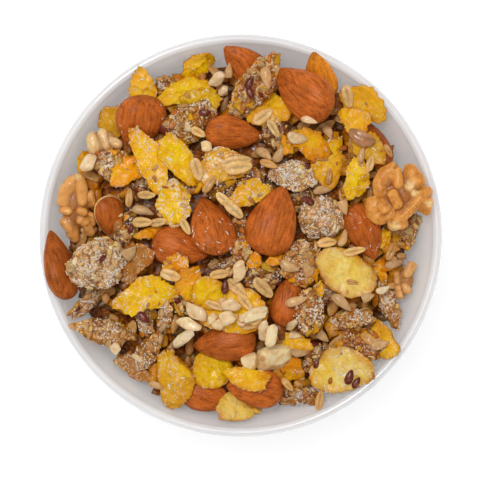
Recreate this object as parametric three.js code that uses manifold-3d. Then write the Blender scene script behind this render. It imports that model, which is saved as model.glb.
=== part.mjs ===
// A small white porcelain bowl heaped with granola: almonds, walnut pieces,
// corn flakes, seed clusters, oats and kernels. Millimetres, +Z up, with the
// origin at the centre of the foot ring's resting plane.
import * as THREE from 'three';
import { mergeVertices } from 'three/addons/utils/BufferGeometryUtils.js';
import Module from 'manifold-3d';

const wasm = await Module();
wasm.setup();

// Bowl
const RIM_RADIUS = 65;
const BOWL_HEIGHT = 60;
const RIM_THICKNESS = 3;
const FOOT_RADIUS = 31;
const FOOT_WIDTH = 4;
const FOOT_EDGE = 0.8;
const FOOT_RECESS = 2.4;
const WALL_START = 3;
const FLOOR_HEIGHT = 7;
const FLOOR_RADIUS = 27;
const WALL_FLARE = 0.6;
const BOWL_SIDES = 40;
const WALL_STEPS = 7;
const RIM_STEPS = 5;
const STEP_CROWDING = 1.6;

// Heap of loose pieces
const CORE_CROWN = 59;
const CORE_EDGE = 51;
const CORE_DIP = 2;
const CORE_DIP_ANGLE = THREE.MathUtils.degToRad(-20);
const CORE_CLEARANCE = 1.3;
const CORE_SIDES = 28;
const CORE_WALL_STEPS = 6;
const CORE_TOP_STEPS = 5;

// How pieces settle on one another
const GAP = 0.4;
const WALL_CLEARANCE = 0.6;
const FUSE_DEPTH = 1.2;
const TRIM_LIMIT = 3;
const NUT_SEAT = 2;
const LEANS = [-36, -24, -12, 0, 12, 24, 36];
const LEAN_COST = 0.03;
const CELL = 0.8;
const CELLS = Math.ceil((2 * (RIM_RADIUS + 2)) / CELL);

// Pieces
const ALMOND_THICKNESS_SHARE = 0.62;
const ALMOND_TAPER = 0.28;
const ALMOND_TIP = 0.1;
const HALF_ALMOND_BACK = 0.25;
const WALNUT_HEIGHT_SHARE = 0.62;
const WALNUT_HEIGHT_LIMIT = 9.5;
const WALNUT_FURROW = 0.08;
const WALNUT_CLEFT = { width: 0.22, depth: 0.25 };
const WALNUT_NOTCH = { width: 0.3, depth: 0.14 };
const WHOLE_WALNUT_LENGTH = 20;
const FLAKE_THICKNESS = 1.5;
const FLAKE_RAGGED = 0.08;
const FLAKE_CURL = 0.09;
const FLAKE_WAVE = 0.5;
const LARGE_FLAKE_LENGTH = 12;
const CLUSTER_HEIGHT_SHARE = 0.55;
const CLUSTER_HEIGHT_LIMIT = 6;
const CLUSTER_BUMP = 0.13;
const OAT = { length: 8, width: 4.6, height: 1.7 };
const KERNEL = { length: 8, width: 3.8, height: 2.6 };
const FILLER_COUNT = 36;
const FILLER_SEED = 20;

const TAU = 2 * Math.PI;
const GOLDEN_ANGLE = Math.PI * (3 - Math.sqrt(5));
const PHASE_STEP = 1.7;

const FINISHES = {
  bowl: { color: 0xe9e8e8, roughness: 0.18 },
  granola_heap: { color: 0xb87f3c, roughness: 0.75 },
  almond: { color: 0xb0602c, roughness: 0.6 },
  walnut: { color: 0xc0823b, roughness: 0.65 },
};

// Seeded draw between 0 and 1, the same on every run.
function seededDraw(seed) {
  let state = seed;
  return () => {
    state = (state + 0x6d2b79f5) | 0;
    let mixed = Math.imul(state ^ (state >>> 15), 1 | state);
    mixed = (mixed + Math.imul(mixed ^ (mixed >>> 7), 61 | mixed)) ^ mixed;
    return ((mixed ^ (mixed >>> 14)) >>> 0) / 4294967296;
  };
}

// One fixed phase for each piece number and wave number.
function phase(number, wave) {
  return (number * GOLDEN_ANGLE + wave * PHASE_STEP) % TAU;
}

// Bowl profile

const rimFoot = BOWL_HEIGHT - RIM_THICKNESS / 2;
const rimInner = RIM_RADIUS - RIM_THICKNESS;
const rimMiddle = RIM_RADIUS - RIM_THICKNESS / 2;

function innerRadius(height) {
  const share = (height - FLOOR_HEIGHT) / (rimFoot - FLOOR_HEIGHT);
  return FLOOR_RADIUS + (rimInner - FLOOR_RADIUS) * Math.max(share, 0) ** WALL_FLARE;
}

function outerRadius(height) {
  const share = (height - WALL_START) / (rimFoot - WALL_START);
  return FOOT_RADIUS + (RIM_RADIUS - FOOT_RADIUS) * Math.max(share, 0) ** WALL_FLARE;
}

// Height of the inside of the bowl, or of its rim, at a distance from the axis.
function bowlTop(radius) {
  if (radius <= FLOOR_RADIUS) return FLOOR_HEIGHT;
  if (radius <= rimInner) {
    const share = (radius - FLOOR_RADIUS) / (rimInner - FLOOR_RADIUS);
    return FLOOR_HEIGHT + (rimFoot - FLOOR_HEIGHT) * share ** (1 / WALL_FLARE);
  }
  const lip = RIM_THICKNESS / 2;
  const across = Math.min(Math.abs(radius - rimMiddle), lip);
  return radius < RIM_RADIUS ? rimFoot + Math.sqrt(lip * lip - across * across) : 0;
}

// Steps that crowd towards the start, where the wall curves most.
function crowded(step, steps) {
  return (step / steps) ** STEP_CROWDING;
}

// The bowl, or with a swell the space that its contents keep clear of.
function bowlGeometry(swell) {
  const footInner = FOOT_RADIUS - FOOT_WIDTH;
  const points = [
    new THREE.Vector2(0, FOOT_RECESS),
    new THREE.Vector2(footInner - FOOT_EDGE, FOOT_RECESS),
    new THREE.Vector2(footInner, FOOT_EDGE),
    new THREE.Vector2(footInner + FOOT_EDGE, 0),
    new THREE.Vector2(FOOT_RADIUS - FOOT_EDGE, 0),
    new THREE.Vector2(FOOT_RADIUS, FOOT_EDGE),
  ];
  for (let step = 0; step <= WALL_STEPS; step += 1) {
    const height = WALL_START + (rimFoot - WALL_START) * crowded(step, WALL_STEPS);
    points.push(new THREE.Vector2(outerRadius(height) + swell, height));
  }
  const lip = RIM_THICKNESS / 2 + swell;
  for (let step = 1; step < RIM_STEPS; step += 1) {
    const angle = (Math.PI * step) / RIM_STEPS;
    points.push(new THREE.Vector2(rimMiddle + lip * Math.cos(angle), rimFoot + lip * Math.sin(angle)));
  }
  for (let step = WALL_STEPS; step >= 0; step -= 1) {
    const height = FLOOR_HEIGHT + (rimFoot - FLOOR_HEIGHT) * crowded(step, WALL_STEPS);
    points.push(new THREE.Vector2(innerRadius(height) - swell, height + swell));
  }
  points.push(new THREE.Vector2(0, FLOOR_HEIGHT + swell));
  return new THREE.LatheGeometry(points, BOWL_SIDES).rotateX(Math.PI / 2);
}

// Core of the heap: it follows the bowl's inside, with a dome on top whose
// edge dips at the right.

function coreEdge(angle) {
  return CORE_EDGE - CORE_DIP * Math.cos(angle - CORE_DIP_ANGLE);
}

function coreTop(share, angle) {
  return CORE_CROWN + (coreEdge(angle) - CORE_CROWN) * share * share;
}

// The lathe gives the rings of the core, and each point is then put in place.
function coreGeometry() {
  const rings = CORE_WALL_STEPS + CORE_TOP_STEPS + 2;
  const outline = Array.from({ length: rings }, (_, ring) => new THREE.Vector2(ring, ring));
  const geometry = new THREE.LatheGeometry(outline, CORE_SIDES);
  const position = geometry.attributes.position;
  const base = FLOOR_HEIGHT + CORE_CLEARANCE;
  for (let index = 0; index < position.count; index += 1) {
    const ring = index % rings;
    const angle = (TAU * Math.floor(index / rings)) / CORE_SIDES;
    const edge = coreEdge(angle);
    let radius = 0;
    let height = base;
    if (ring > 0 && ring <= CORE_WALL_STEPS) {
      height = base + (edge - base) * crowded(ring - 1, CORE_WALL_STEPS - 1);
      radius = innerRadius(height) - CORE_CLEARANCE;
    } else if (ring > CORE_WALL_STEPS) {
      const share = (rings - 1 - ring) / (rings - 1 - CORE_WALL_STEPS);
      radius = share * (innerRadius(edge) - CORE_CLEARANCE);
      height = coreTop(share, angle);
    }
    position.setXYZ(index, radius * Math.cos(angle), radius * Math.sin(angle), height);
  }
  return geometry;
}

// Shapes of the pieces, each along X with its broad side up

// A closed body made from a sphere with its poles on the X axis.
function lengthwise(sides, rings, shape) {
  return reshaped(new THREE.SphereGeometry(1, sides, rings).rotateZ(-Math.PI / 2), shape);
}

// A closed body made from a sphere with its poles on the Z axis.
function upright(sides, rings, shape) {
  return reshaped(new THREE.SphereGeometry(1, sides, rings).rotateX(Math.PI / 2), shape);
}

function reshaped(geometry, shape) {
  const position = geometry.attributes.position;
  const point = new THREE.Vector3();
  for (let index = 0; index < position.count; index += 1) {
    shape(point.fromBufferAttribute(position, index));
    position.setXYZ(index, point.x, point.y, point.z);
  }
  geometry.deleteAttribute('normal');
  geometry.deleteAttribute('uv');
  return mergeVertices(geometry);
}

function almondShape({ length, width, half }, swell) {
  const thickness = width * ALMOND_THICKNESS_SHARE;
  return lengthwise(10, 6, (point) => {
    const girth = 1 - ALMOND_TAPER * point.x;
    const reach = 1 + ALMOND_TIP * (Math.max(point.x, 0) ** 3 - 0.5);
    const back = half && point.z < 0 ? HALF_ALMOND_BACK : 1;
    point.x *= (length / 2) * reach + swell;
    point.y *= (width / 2) * girth + swell;
    point.z *= (thickness / 2) * girth * back + swell;
  });
}

// A half kernel, round side up: folds all round, a cleft along the middle and
// a notch at each end.
function walnutShape({ length, width, number }, swell) {
  const height = Math.min(width * WALNUT_HEIGHT_SHARE, WALNUT_HEIGHT_LIMIT);
  const [sides, rings] = length > WHOLE_WALNUT_LENGTH ? [16, 9] : [11, 7];
  return upright(sides, rings, (point) => {
    const angle = Math.atan2(point.y, point.x);
    const reach = Math.hypot(point.x, point.y);
    const folds = reach * Math.sin(6 * angle + 5 * reach + phase(number, 1));
    const cleft = Math.max(point.z, 0) * Math.exp(-((point.y / WALNUT_CLEFT.width) ** 2));
    const notch = reach ** 4 * Math.exp(-((point.y / WALNUT_NOTCH.width) ** 2));
    const size = 1 + WALNUT_FURROW * folds - WALNUT_CLEFT.depth * cleft - WALNUT_NOTCH.depth * notch;
    point.x *= (length / 2) * size + swell;
    point.y *= (width / 2) * size + swell;
    point.z *= (height / 2) * size + swell;
  });
}

// A thin disc with a ragged edge that curls like a saddle.
function flakeShape({ length, width, number }) {
  const sides = length > LARGE_FLAKE_LENGTH ? 9 : 7;
  const ringRadius = Math.sin(Math.PI / 3);
  return upright(sides, 3, (point) => {
    const angle = Math.atan2(point.y, point.x);
    const reach = Math.hypot(point.x, point.y) / ringRadius;
    const ragged = 1 + FLAKE_RAGGED * Math.sin(2 * angle + phase(number, 1))
      + FLAKE_RAGGED * Math.sin(3 * angle + phase(number, 2));
    const curl = length * FLAKE_CURL * reach * reach * Math.cos(2 * angle + phase(number, 3));
    const wave = FLAKE_WAVE * reach * Math.sin(3 * angle + phase(number, 4));
    point.x *= (length / 2) * (ragged / ringRadius);
    point.y *= (width / 2) * (ragged / ringRadius);
    point.z = point.z * FLAKE_THICKNESS * 0.75 + curl + wave;
  });
}

// A lump of seeds and crumbs baked together.
function clusterShape({ length, width, number }) {
  const height = Math.min(width * CLUSTER_HEIGHT_SHARE, CLUSTER_HEIGHT_LIMIT);
  return lengthwise(7, 4, (point) => {
    const bump = 1 + CLUSTER_BUMP * Math.sin(4 * point.x + phase(number, 1)) * Math.cos(5 * point.y)
      + CLUSTER_BUMP * Math.sin(5 * point.z + 3 * point.x + phase(number, 2));
    point.x *= (length / 2) * bump;
    point.y *= (width / 2) * bump;
    point.z *= (height / 2) * bump;
  });
}

function grainShape({ length, width, height }) {
  return lengthwise(5, 3, (point) => {
    point.x *= length / 2;
    point.y *= width / 2;
    point.z *= height / 2;
  });
}

// Settling: height fields of the loose bed, of the nuts and of the bowl, on a
// square grid of cells

const bed = new Float64Array(CELLS * CELLS);
const nutTops = new Float64Array(CELLS * CELLS);
const bowlTops = new Float64Array(CELLS * CELLS);

function cellCentre(column) {
  return (column + 0.5) * CELL - (CELLS * CELL) / 2;
}

function gridLine(distance) {
  return Math.floor(distance / CELL + CELLS / 2);
}

function layOutGround() {
  for (let row = 0; row < CELLS; row += 1) {
    for (let column = 0; column < CELLS; column += 1) {
      const x = cellCentre(column);
      const y = cellCentre(row);
      const radius = Math.hypot(x, y);
      const angle = Math.atan2(y, x);
      const reach = innerRadius(coreEdge(angle));
      bed[row * CELLS + column] = radius < reach ? coreTop(radius / reach, angle) : 0;
      bowlTops[row * CELLS + column] = bowlTop(radius + WALL_CLEARANCE);
    }
  }
}

// Calls visit(cell, height) for the cells that a geometry's triangles cover.
function eachCell(geometry, visit) {
  const position = geometry.attributes.position;
  const corners = [new THREE.Vector3(), new THREE.Vector3(), new THREE.Vector3()];
  const [a, b, c] = corners;
  for (let index = 0; index < geometry.index.count; index += 3) {
    corners.forEach((corner, k) => corner.fromBufferAttribute(position, geometry.index.getX(index + k)));
    corners.forEach((corner) => visit(gridLine(corner.y) * CELLS + gridLine(corner.x), corner.z));
    const area = (b.x - a.x) * (c.y - a.y) - (c.x - a.x) * (b.y - a.y);
    if (area === 0) continue;
    const lastRow = gridLine(Math.max(a.y, b.y, c.y));
    const lastColumn = gridLine(Math.max(a.x, b.x, c.x));
    for (let row = gridLine(Math.min(a.y, b.y, c.y)); row <= lastRow; row += 1) {
      for (let column = gridLine(Math.min(a.x, b.x, c.x)); column <= lastColumn; column += 1) {
        const x = cellCentre(column) - a.x;
        const y = cellCentre(row) - a.y;
        const toB = (x * (c.y - a.y) - y * (c.x - a.x)) / area;
        const toC = (y * (b.x - a.x) - x * (b.y - a.y)) / area;
        if (toB < 0 || toC < 0 || toB + toC > 1) continue;
        visit(row * CELLS + column, a.z + toB * (b.z - a.z) + toC * (c.z - a.z));
      }
    }
  }
}

// Turn of a piece: its heading, then its lean along and across its length.
function turned({ x, y, heading, roll = 0 }, lean) {
  const { degToRad } = THREE.MathUtils;
  return new THREE.Matrix4().makeRotationZ(degToRad(heading))
    .multiply(new THREE.Matrix4().makeRotationY(degToRad(lean.along)))
    .multiply(new THREE.Matrix4().makeRotationX(degToRad(lean.across + roll)))
    .setPosition(x, y, 0);
}

// How high a turned piece comes to rest on each kind of ground.
function restingHeights(geometry) {
  const heights = { bed: -Infinity, nut: -Infinity, bowl: -Infinity };
  eachCell(geometry, (cell, height) => {
    heights.bed = Math.max(heights.bed, bed[cell] - height);
    heights.nut = Math.max(heights.nut, nutTops[cell] - height);
    heights.bowl = Math.max(heights.bowl, bowlTops[cell] - height);
  });
  return heights;
}

// Tries a grid of leans and takes the one in which the piece lies lowest, as
// it would after a shake. Returns the placing of the piece.
function settle(shape, piece, restOn) {
  let best = { cost: Infinity };
  for (const along of LEANS) {
    for (const across of LEANS) {
      const placing = turned(piece, { along, across });
      const rest = restOn(restingHeights(shape.clone().applyMatrix4(placing)));
      const cost = rest + LEAN_COST * Math.hypot(along, across);
      if (cost < best.cost) best = { cost, placing: placing.setPosition(piece.x, piece.y, rest) };
    }
  }
  return best.placing;
}

// A loose piece sinks a little into the bed that it fuses to. Where a nut or
// the bowl's wall holds it just clear of the bed, it is let down and trimmed.
function loosePieceRest(heights) {
  const fused = heights.bed - FUSE_DEPTH;
  const rest = Math.max(fused, heights.nut, heights.bowl);
  return rest - fused < TRIM_LIMIT ? fused : rest;
}

function nutRest(heights) {
  return Math.max(heights.bed - NUT_SEAT, heights.nut + GAP, heights.bowl + GAP);
}

function raise(field, geometry) {
  eachCell(geometry, (cell, height) => {
    field[cell] = Math.max(field[cell], height);
  });
}

// Layout from the lowest pieces to the topmost: x, y, length, width, heading
// in degrees from +X, and for nuts the roll about their own length

function almond(name, x, y, length, width, heading, roll = 0) {
  return { kind: 'almond', name, x, y, length, width, heading, roll };
}

function halfAlmond(...place) {
  return { ...almond(...place), half: true };
}

function walnut(name, x, y, length, width, heading) {
  return { kind: 'walnut', name, x, y, length, width, heading };
}

function flake(x, y, length, width, heading) {
  return { kind: 'flake', x, y, length, width, heading };
}

function cluster(x, y, length, width, heading) {
  return { kind: 'cluster', x, y, length, width, heading };
}

const LAYOUT = [
  flake(-51, 24, 8, 5, 80),
  flake(-40.8, 37.8, 13.5, 11, 80),
  walnut('walnut_5', -44.3, 30.4, 13, 8.5, 10),
  flake(-28.5, 0.8, 11.5, 5, 10),
  almond('almond_04', 1.7, 55, 18.5, 12, 140),
  almond('almond_08', 25.7, 51.3, 18.5, 10.5, 108),
  almond('almond_16', 43.5, 29.5, 18, 11, 115, 50),
  flake(41.3, 28.2, 13.5, 11, -60),
  cluster(54, 1.8, 12, 7, 70),
  flake(46.5, -0.8, 8, 4.5, 80),
  flake(45.5, -12, 9, 4, -70),
  walnut('walnut_4', 53, -14.3, 14.5, 8, 80),
  cluster(48, -23.7, 16, 6.5, -70),
  cluster(-33, -42, 15, 6, -30),
  almond('almond_13', -11.5, -51.5, 18, 12, -20),
  flake(-0.8, -56, 17, 10.5, 0),
  cluster(18.2, -52, 15, 6, 0),
  flake(46.4, -34.4, 14, 8, -50),
  cluster(39, -35, 16, 9, -20),
  almond('almond_10', 40, 1.6, 19.5, 12, -68),
  almond('almond_15', 15.3, -21.4, 17, 11, 80),
  almond('almond_06', -20, -3.9, 18.5, 13, -15),
  flake(4.3, -8.2, 7, 5, -85),
  flake(11.7, -8.2, 8, 5, -10),
  flake(17.2, -34.6, 12, 7.5, -5),
  flake(16.9, -43.6, 9.5, 7, 70),
  flake(25, -17.6, 7, 4.5, 80),
  cluster(0, -5, 8, 6, 80),
  cluster(-24.3, 48.1, 7, 6, 0),
  cluster(-49.5, -23.3, 15, 6.5, 35),
  cluster(-43, -30.8, 23, 8, -8),
  cluster(-28, -28, 13, 6, -60),
  cluster(-24, -28, 15, 5.5, 75),
  cluster(-29.8, -37.5, 13, 7, 60),
  flake(-34.3, -8.5, 16, 11.5, 60),
  flake(8.8, 41, 15, 10, 10),
  flake(-14, 55.3, 13, 8.5, 20),
  flake(-18.2, 46.5, 18, 9.5, 20),
  flake(-13.1, 43.6, 15.5, 8, 10),
  cluster(-16.3, 36.5, 18.5, 11, 35),
  cluster(4.3, 47.5, 22, 11, 55),
  flake(-31.8, 47.5, 14, 10.5, 85),
  almond('almond_01', -32.4, 36.5, 19.5, 16.8, -100),
  cluster(-40.4, 24.3, 18, 11.5, -15),
  flake(-36.1, 20.8, 10.5, 8.5, 20),
  walnut('walnut_1', -53, 8.9, 24.5, 14, 85),
  halfAlmond('almond_02', -42.2, 6.3, 14.5, 10.5, -80),
  almond('almond_11', -58, -10, 23, 13, 105, 48),
  cluster(-46.9, -9.5, 19, 16, 20),
  flake(-21.1, 10.5, 13.5, 11, 75),
  flake(-29.5, 24, 18.5, 9, -65),
  flake(-19.8, 24.3, 20, 10, -50),
  flake(-6, 22.4, 19.5, 10, 5),
  almond('almond_03', -2.8, 32.9, 18.7, 12, -5),
  almond('almond_07', 20.4, 45.6, 23, 16, 139),
  flake(40, 43, 16.5, 12.5, -15),
  flake(35.5, 38.2, 13, 8, -10),
  flake(29.1, 24.3, 16.5, 10, 75),
  flake(21.7, 30.8, 15, 11, -25),
  flake(37.5, 18.5, 16, 7.5, 80),
  walnut('walnut_2', 49.8, 12.5, 24, 21, 30),
  cluster(16.2, 19.2, 14, 9.5, -15),
  cluster(26.2, 5.6, 15, 13.5, -45),
  flake(3, 13, 14, 9.5, 30),
  almond('almond_05', -9.3, 2.7, 21, 14.8, 108),
  cluster(19.8, -8.5, 15, 11.5, 70),
  almond('almond_09', 10.3, 4.3, 23, 16.5, 73),
  cluster(22, -24, 14, 9.5, 80),
  cluster(36.5, -27.2, 15.5, 6.5, 12),
  flake(34, -11.8, 19.5, 13.5, -25),
  flake(-9.2, -43.6, 12, 11, 0),
  almond('almond_12', -4.6, -34.6, 20.5, 12.5, 185),
  flake(-21.1, -45.6, 22, 12, 105),
  almond('almond_14', 5, -49.5, 18.5, 12.5, 175),
  flake(2.5, -46.4, 17, 6.5, -10),
  walnut('walnut_3', 8.2, -39.8, 19, 8.5, 8),
  flake(-30.5, -19.2, 19.5, 11, 25),
  flake(-20.8, -9.2, 11, 7, 20),
  flake(-16.6, -15, 11, 8.5, 60),
  flake(-3.1, -24, 21, 14.5, 0),
  flake(-10.5, -18.2, 11, 9.5, -30),
  flake(32.5, -43.6, 21, 15.5, 5),
];

// Oats and kernels that lie on top, by hand; every second one is a kernel.
const TOP_GRAINS = [
  [-14, 21, 40], [-1.5, 23, -20], [-3.7, 9.8, -42], [7.2, -16.8, -45],
  [-6.6, -12.4, 30], [-1.2, -16.9, 70], [-22.4, -12.7, 10], [33, 9.5, 80],
  [39, 25.6, 20], [25.9, -32.7, 40], [12.7, 24.6, 15], [-8.6, -27.2, -30],
  [-0.5, -22, 20], [6.9, 38.2, 35], [-13.7, 14.3, -30], [36.7, -5, 20],
];

// Assembly

function swollenNut(piece) {
  return piece.kind === 'almond' ? almondShape(piece, GAP) : walnutShape(piece, GAP);
}

function nutShape(piece) {
  return piece.kind === 'almond' ? almondShape(piece, 0) : walnutShape(piece, 0);
}

function loosePieceShape(piece) {
  return piece.kind === 'flake' ? flakeShape(piece) : clusterShape(piece);
}

function solid(geometry) {
  geometry.deleteAttribute('normal');
  geometry.deleteAttribute('uv');
  const merged = mergeVertices(geometry);
  return new wasm.Manifold(new wasm.Mesh({
    numProp: 3,
    vertProperties: new Float32Array(merged.attributes.position.array),
    triVerts: withoutSlivers(merged.index.array),
  }));
}

// Triangles that shrank to a line on the lathe's axis are left out.
function withoutSlivers(corners) {
  const kept = [];
  for (let index = 0; index < corners.length; index += 3) {
    const [a, b, c] = corners.slice(index, index + 3);
    if (a !== b && b !== c && c !== a) kept.push(a, b, c);
  }
  return new Uint32Array(kept);
}

function geometryOf(manifold) {
  const { vertProperties, triVerts } = manifold.getMesh();
  const geometry = new THREE.BufferGeometry();
  geometry.setAttribute('position', new THREE.BufferAttribute(new Float32Array(vertProperties), 3));
  geometry.setIndex(new THREE.BufferAttribute(new Uint32Array(triVerts), 1));
  geometry.computeVertexNormals();
  return geometry;
}

function namedMesh(name, finish, geometry) {
  const material = new THREE.MeshStandardMaterial({ ...FINISHES[finish], metalness: 0 });
  const mesh = new THREE.Mesh(geometry, material);
  mesh.name = name;
  return mesh;
}

// A loose oat or kernel for a place in a list of them.
function grain(x, y, heading, number) {
  const size = number % 2 ? KERNEL : OAT;
  return { kind: 'grain', x, y, heading, ...size };
}

// Seeded grains all over the core, between the pieces that lie on it.
function fillerGrains() {
  const draw = seededDraw(FILLER_SEED);
  const reach = innerRadius(CORE_EDGE) - OAT.length / 2;
  return Array.from({ length: FILLER_COUNT }, (_, number) => {
    const radius = reach * Math.sqrt(draw());
    const angle = TAU * draw();
    return grain(radius * Math.cos(angle), radius * Math.sin(angle), 180 * draw(), number);
  });
}

// True where the middle of a grain is left uncovered by the larger pieces.
function showsThrough({ x, y }) {
  return LAYOUT.every((piece) => {
    const turn = THREE.MathUtils.degToRad(piece.heading);
    const along = (x - piece.x) * Math.cos(turn) + (y - piece.y) * Math.sin(turn);
    const across = (y - piece.y) * Math.cos(turn) - (x - piece.x) * Math.sin(turn);
    return Math.hypot(along / piece.length, across / piece.width) > 0.5;
  });
}

function heapAndNuts() {
  layOutGround();
  let heap = solid(coreGeometry());
  const nuts = [];
  const sockets = [];
  const lay = (shape, piece) => {
    shape.applyMatrix4(settle(shape, piece, loosePieceRest));
    raise(bed, shape);
    heap = heap.add(solid(shape));
  };
  fillerGrains().filter(showsThrough).forEach((piece) => lay(grainShape(piece), piece));
  LAYOUT.forEach((entry, number) => {
    const piece = { ...entry, number };
    if (!piece.name) {
      lay(loosePieceShape(piece), piece);
      return;
    }
    const shape = nutShape(piece);
    const placing = settle(shape, piece, nutRest);
    raise(nutTops, shape.applyMatrix4(placing));
    nuts.push(namedMesh(piece.name, piece.kind, shape));
    sockets.push(solid(swollenNut(piece).applyMatrix4(placing)));
  });
  TOP_GRAINS.forEach(([x, y, heading], number) => {
    const piece = grain(x, y, heading, number);
    lay(grainShape(piece), piece);
  });
  sockets.push(solid(bowlGeometry(GAP)));
  sockets.forEach((socket) => {
    heap = heap.subtract(socket);
  });
  return { heap: largestBody(heap), nuts };
}

function largestBody(manifold) {
  return manifold.decompose().reduce((best, body) => (body.volume() > best.volume() ? body : best));
}

const bowlOfGranola = new THREE.Group();
const { heap, nuts } = heapAndNuts();
bowlOfGranola.add(namedMesh('bowl', 'bowl', geometryOf(solid(bowlGeometry(0)))));
bowlOfGranola.add(namedMesh('granola_heap', 'granola_heap', geometryOf(heap)));
bowlOfGranola.add(...nuts);

export default bowlOfGranola;
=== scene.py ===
"""A bowl of granola, laid out as a Blender add-on.

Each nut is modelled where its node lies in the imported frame. Corn flakes, clusters, oats,
kernels, seeds and crumbs settle around the nuts on height fields. Shapes are worked out in
millimetres and become meshes in metres.
"""

import math
from functools import lru_cache

import bmesh
import bpy
import numpy as np
from bpy.props import FloatProperty, FloatVectorProperty, IntProperty, PointerProperty
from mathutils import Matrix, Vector, noise


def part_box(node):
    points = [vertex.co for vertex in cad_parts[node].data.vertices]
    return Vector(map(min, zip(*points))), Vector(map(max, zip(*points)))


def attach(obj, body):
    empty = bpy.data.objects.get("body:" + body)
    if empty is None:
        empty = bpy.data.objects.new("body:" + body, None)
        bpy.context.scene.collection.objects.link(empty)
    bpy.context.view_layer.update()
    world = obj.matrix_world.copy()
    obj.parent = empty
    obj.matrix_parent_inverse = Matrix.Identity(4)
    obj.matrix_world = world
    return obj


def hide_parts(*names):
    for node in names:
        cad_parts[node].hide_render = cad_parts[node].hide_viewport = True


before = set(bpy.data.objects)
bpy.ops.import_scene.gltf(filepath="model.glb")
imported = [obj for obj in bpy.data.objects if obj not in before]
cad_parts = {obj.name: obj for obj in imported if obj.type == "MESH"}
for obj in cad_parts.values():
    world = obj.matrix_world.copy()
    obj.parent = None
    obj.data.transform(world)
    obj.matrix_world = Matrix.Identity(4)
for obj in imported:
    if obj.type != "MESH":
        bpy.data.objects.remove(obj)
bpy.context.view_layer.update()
_, BOWL_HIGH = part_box("bowl")

bl_info = {
    "name": "Bowl of granola",
    "version": (1, 0, 0),
    "blender": (4, 5, 0),
    "location": "3D View > Sidebar > Granola",
    "description": "Makes a porcelain bowl heaped with nuts, corn flakes, seed clusters and oats",
    "category": "Add Mesh",
}

MM = 0.001
TAU = 2 * math.pi
GOLDEN_ANGLE = math.pi * (3 - math.sqrt(5))
PHASE_STEP = 1.7
NOISE_STEPS = (7.3, 3.1, 1.9)
CUT_STEP = 3.7
BODY = "root"
HEAP_NODE = "granola_heap"

# The least radius in millimetres and area in square millimetres that are divided by
LEAST_RADIUS = 1e-3
LEAST_AREA = 1e-9


# Settings

def length(name, description, default):
    """A size in metres."""
    return FloatProperty(name=name, description=description, default=default, min=0, unit="LENGTH")


def colour(name, description, red, green, blue):
    """A colour given as it looks on a screen, from 0 to 255."""
    shown = (red / 255, green / 255, blue / 255)
    return FloatVectorProperty(
        name=name, description=description, default=shown, min=0, max=1, size=3, subtype="COLOR_GAMMA"
    )


class BowlSettings(bpy.types.PropertyGroup):
    """Sizes and glaze of the bowl"""

    rim_radius: length("Rim radius", "From the axis to the outside of the rim", BOWL_HIGH.x)
    height: length("Height", "From the table to the top of the rim", BOWL_HIGH.z)
    rim_thickness: length("Rim thickness", "Thickness of the rounded lip", 0.003)
    foot_radius: length("Foot radius", "Outside radius of the foot ring", 0.031)
    foot_width: length("Foot width", "Width of the foot ring", 0.004)
    foot_edge: length("Foot edge", "Rounding of the foot ring's edges", 0.0008)
    foot_recess: length("Foot recess", "Depth of the hollow inside the foot ring", 0.0024)
    wall_start: length("Wall start", "Height at which the outer wall leaves the foot", 0.003)
    floor_height: length("Floor height", "Height of the floor inside", 0.007)
    floor_radius: length("Floor radius", "Radius of the flat floor inside", 0.027)
    glaze: colour("Glaze", "Colour of the glazed porcelain", 228, 227, 228)


class NutSettings(bpy.types.PropertyGroup):
    """Skins of the almonds and walnuts"""

    almond: colour("Almond skin", "Usual colour of the almonds", 200, 103, 37)
    light_almond: colour("Light almond skin", "Colour of the palest almonds", 232, 142, 40)
    # The same pale colour is also painted as a highlight on walnut_1
    pale_flesh_and_highlight: colour("Cut almond", "Colour of an almond's cut edge", 255, 216, 150)
    almond_rib: length("Almond rib", "Height of the ribs along an almond", 0.00016)
    walnut: colour("Walnut skin", "Colour of the walnuts' golden skin", 234, 162, 76)
    # Deep between the folds the skin is browner, and painted shade darkens it further
    walnut_crease_and_shade: colour("Walnut crease", "Colour deep between a walnut's folds", 146, 74, 24)
    pale_walnut: colour("Pale walnut", "Colour of broken walnut pieces", 254, 226, 172)


class GranolaSettings(bpy.types.PropertyGroup):
    """Colours and amounts of the loose pieces"""

    bright: colour("Bright flake", "Bright yellow corn flakes", 250, 200, 8)
    golden: colour("Golden flake", "Golden corn flakes", 248, 184, 28)
    pale: colour("Pale flake", "Pale corn flakes", 250, 214, 108)
    orange: colour("Orange flake", "Orange corn flakes", 250, 166, 6)
    dull: colour("Dull flake", "Dull yellow corn flakes", 222, 166, 32)
    glazed: colour("Glazed flake", "Brown glazed flakes", 188, 125, 52)
    toasted: colour("Toasted edge", "Browned edges of the flakes", 196, 108, 10)
    crumb: colour("Cluster", "Baked crumbs that hold the clusters together", 200, 128, 56)
    bed: colour("Bed", "Crumbs deep between the pieces", 170, 98, 32)
    oat: colour("Oat", "Rolled oats", 242, 196, 125)
    grain: colour("Grain", "Toasted whole grains", 221, 165, 90)
    sunflower: colour("Sunflower", "Sunflower kernels", 218, 174, 120)
    nut_chip: colour("Nut chip", "Chopped pale nuts", 248, 216, 168)
    bean: colour("Bean", "The brown glossy bean", 190, 132, 88)
    flax: colour("Flax", "Flax seeds", 113, 40, 17)
    bran: colour("Bran", "Bran and oat bits on the clusters", 208, 152, 88)
    white: colour("White crumbs", "Sugar and coconut crumbs", 255, 238, 214)
    flake_thickness: length("Flake thickness", "Thickness of a corn flake", 0.0013)
    under_grains: IntProperty(
        name="Under grains", description="Grains tried under the pieces, where gaps show", default=1400, min=0
    )
    seed: IntProperty(name="Seed", description="Start of the random draws", default=20, min=0)


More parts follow.
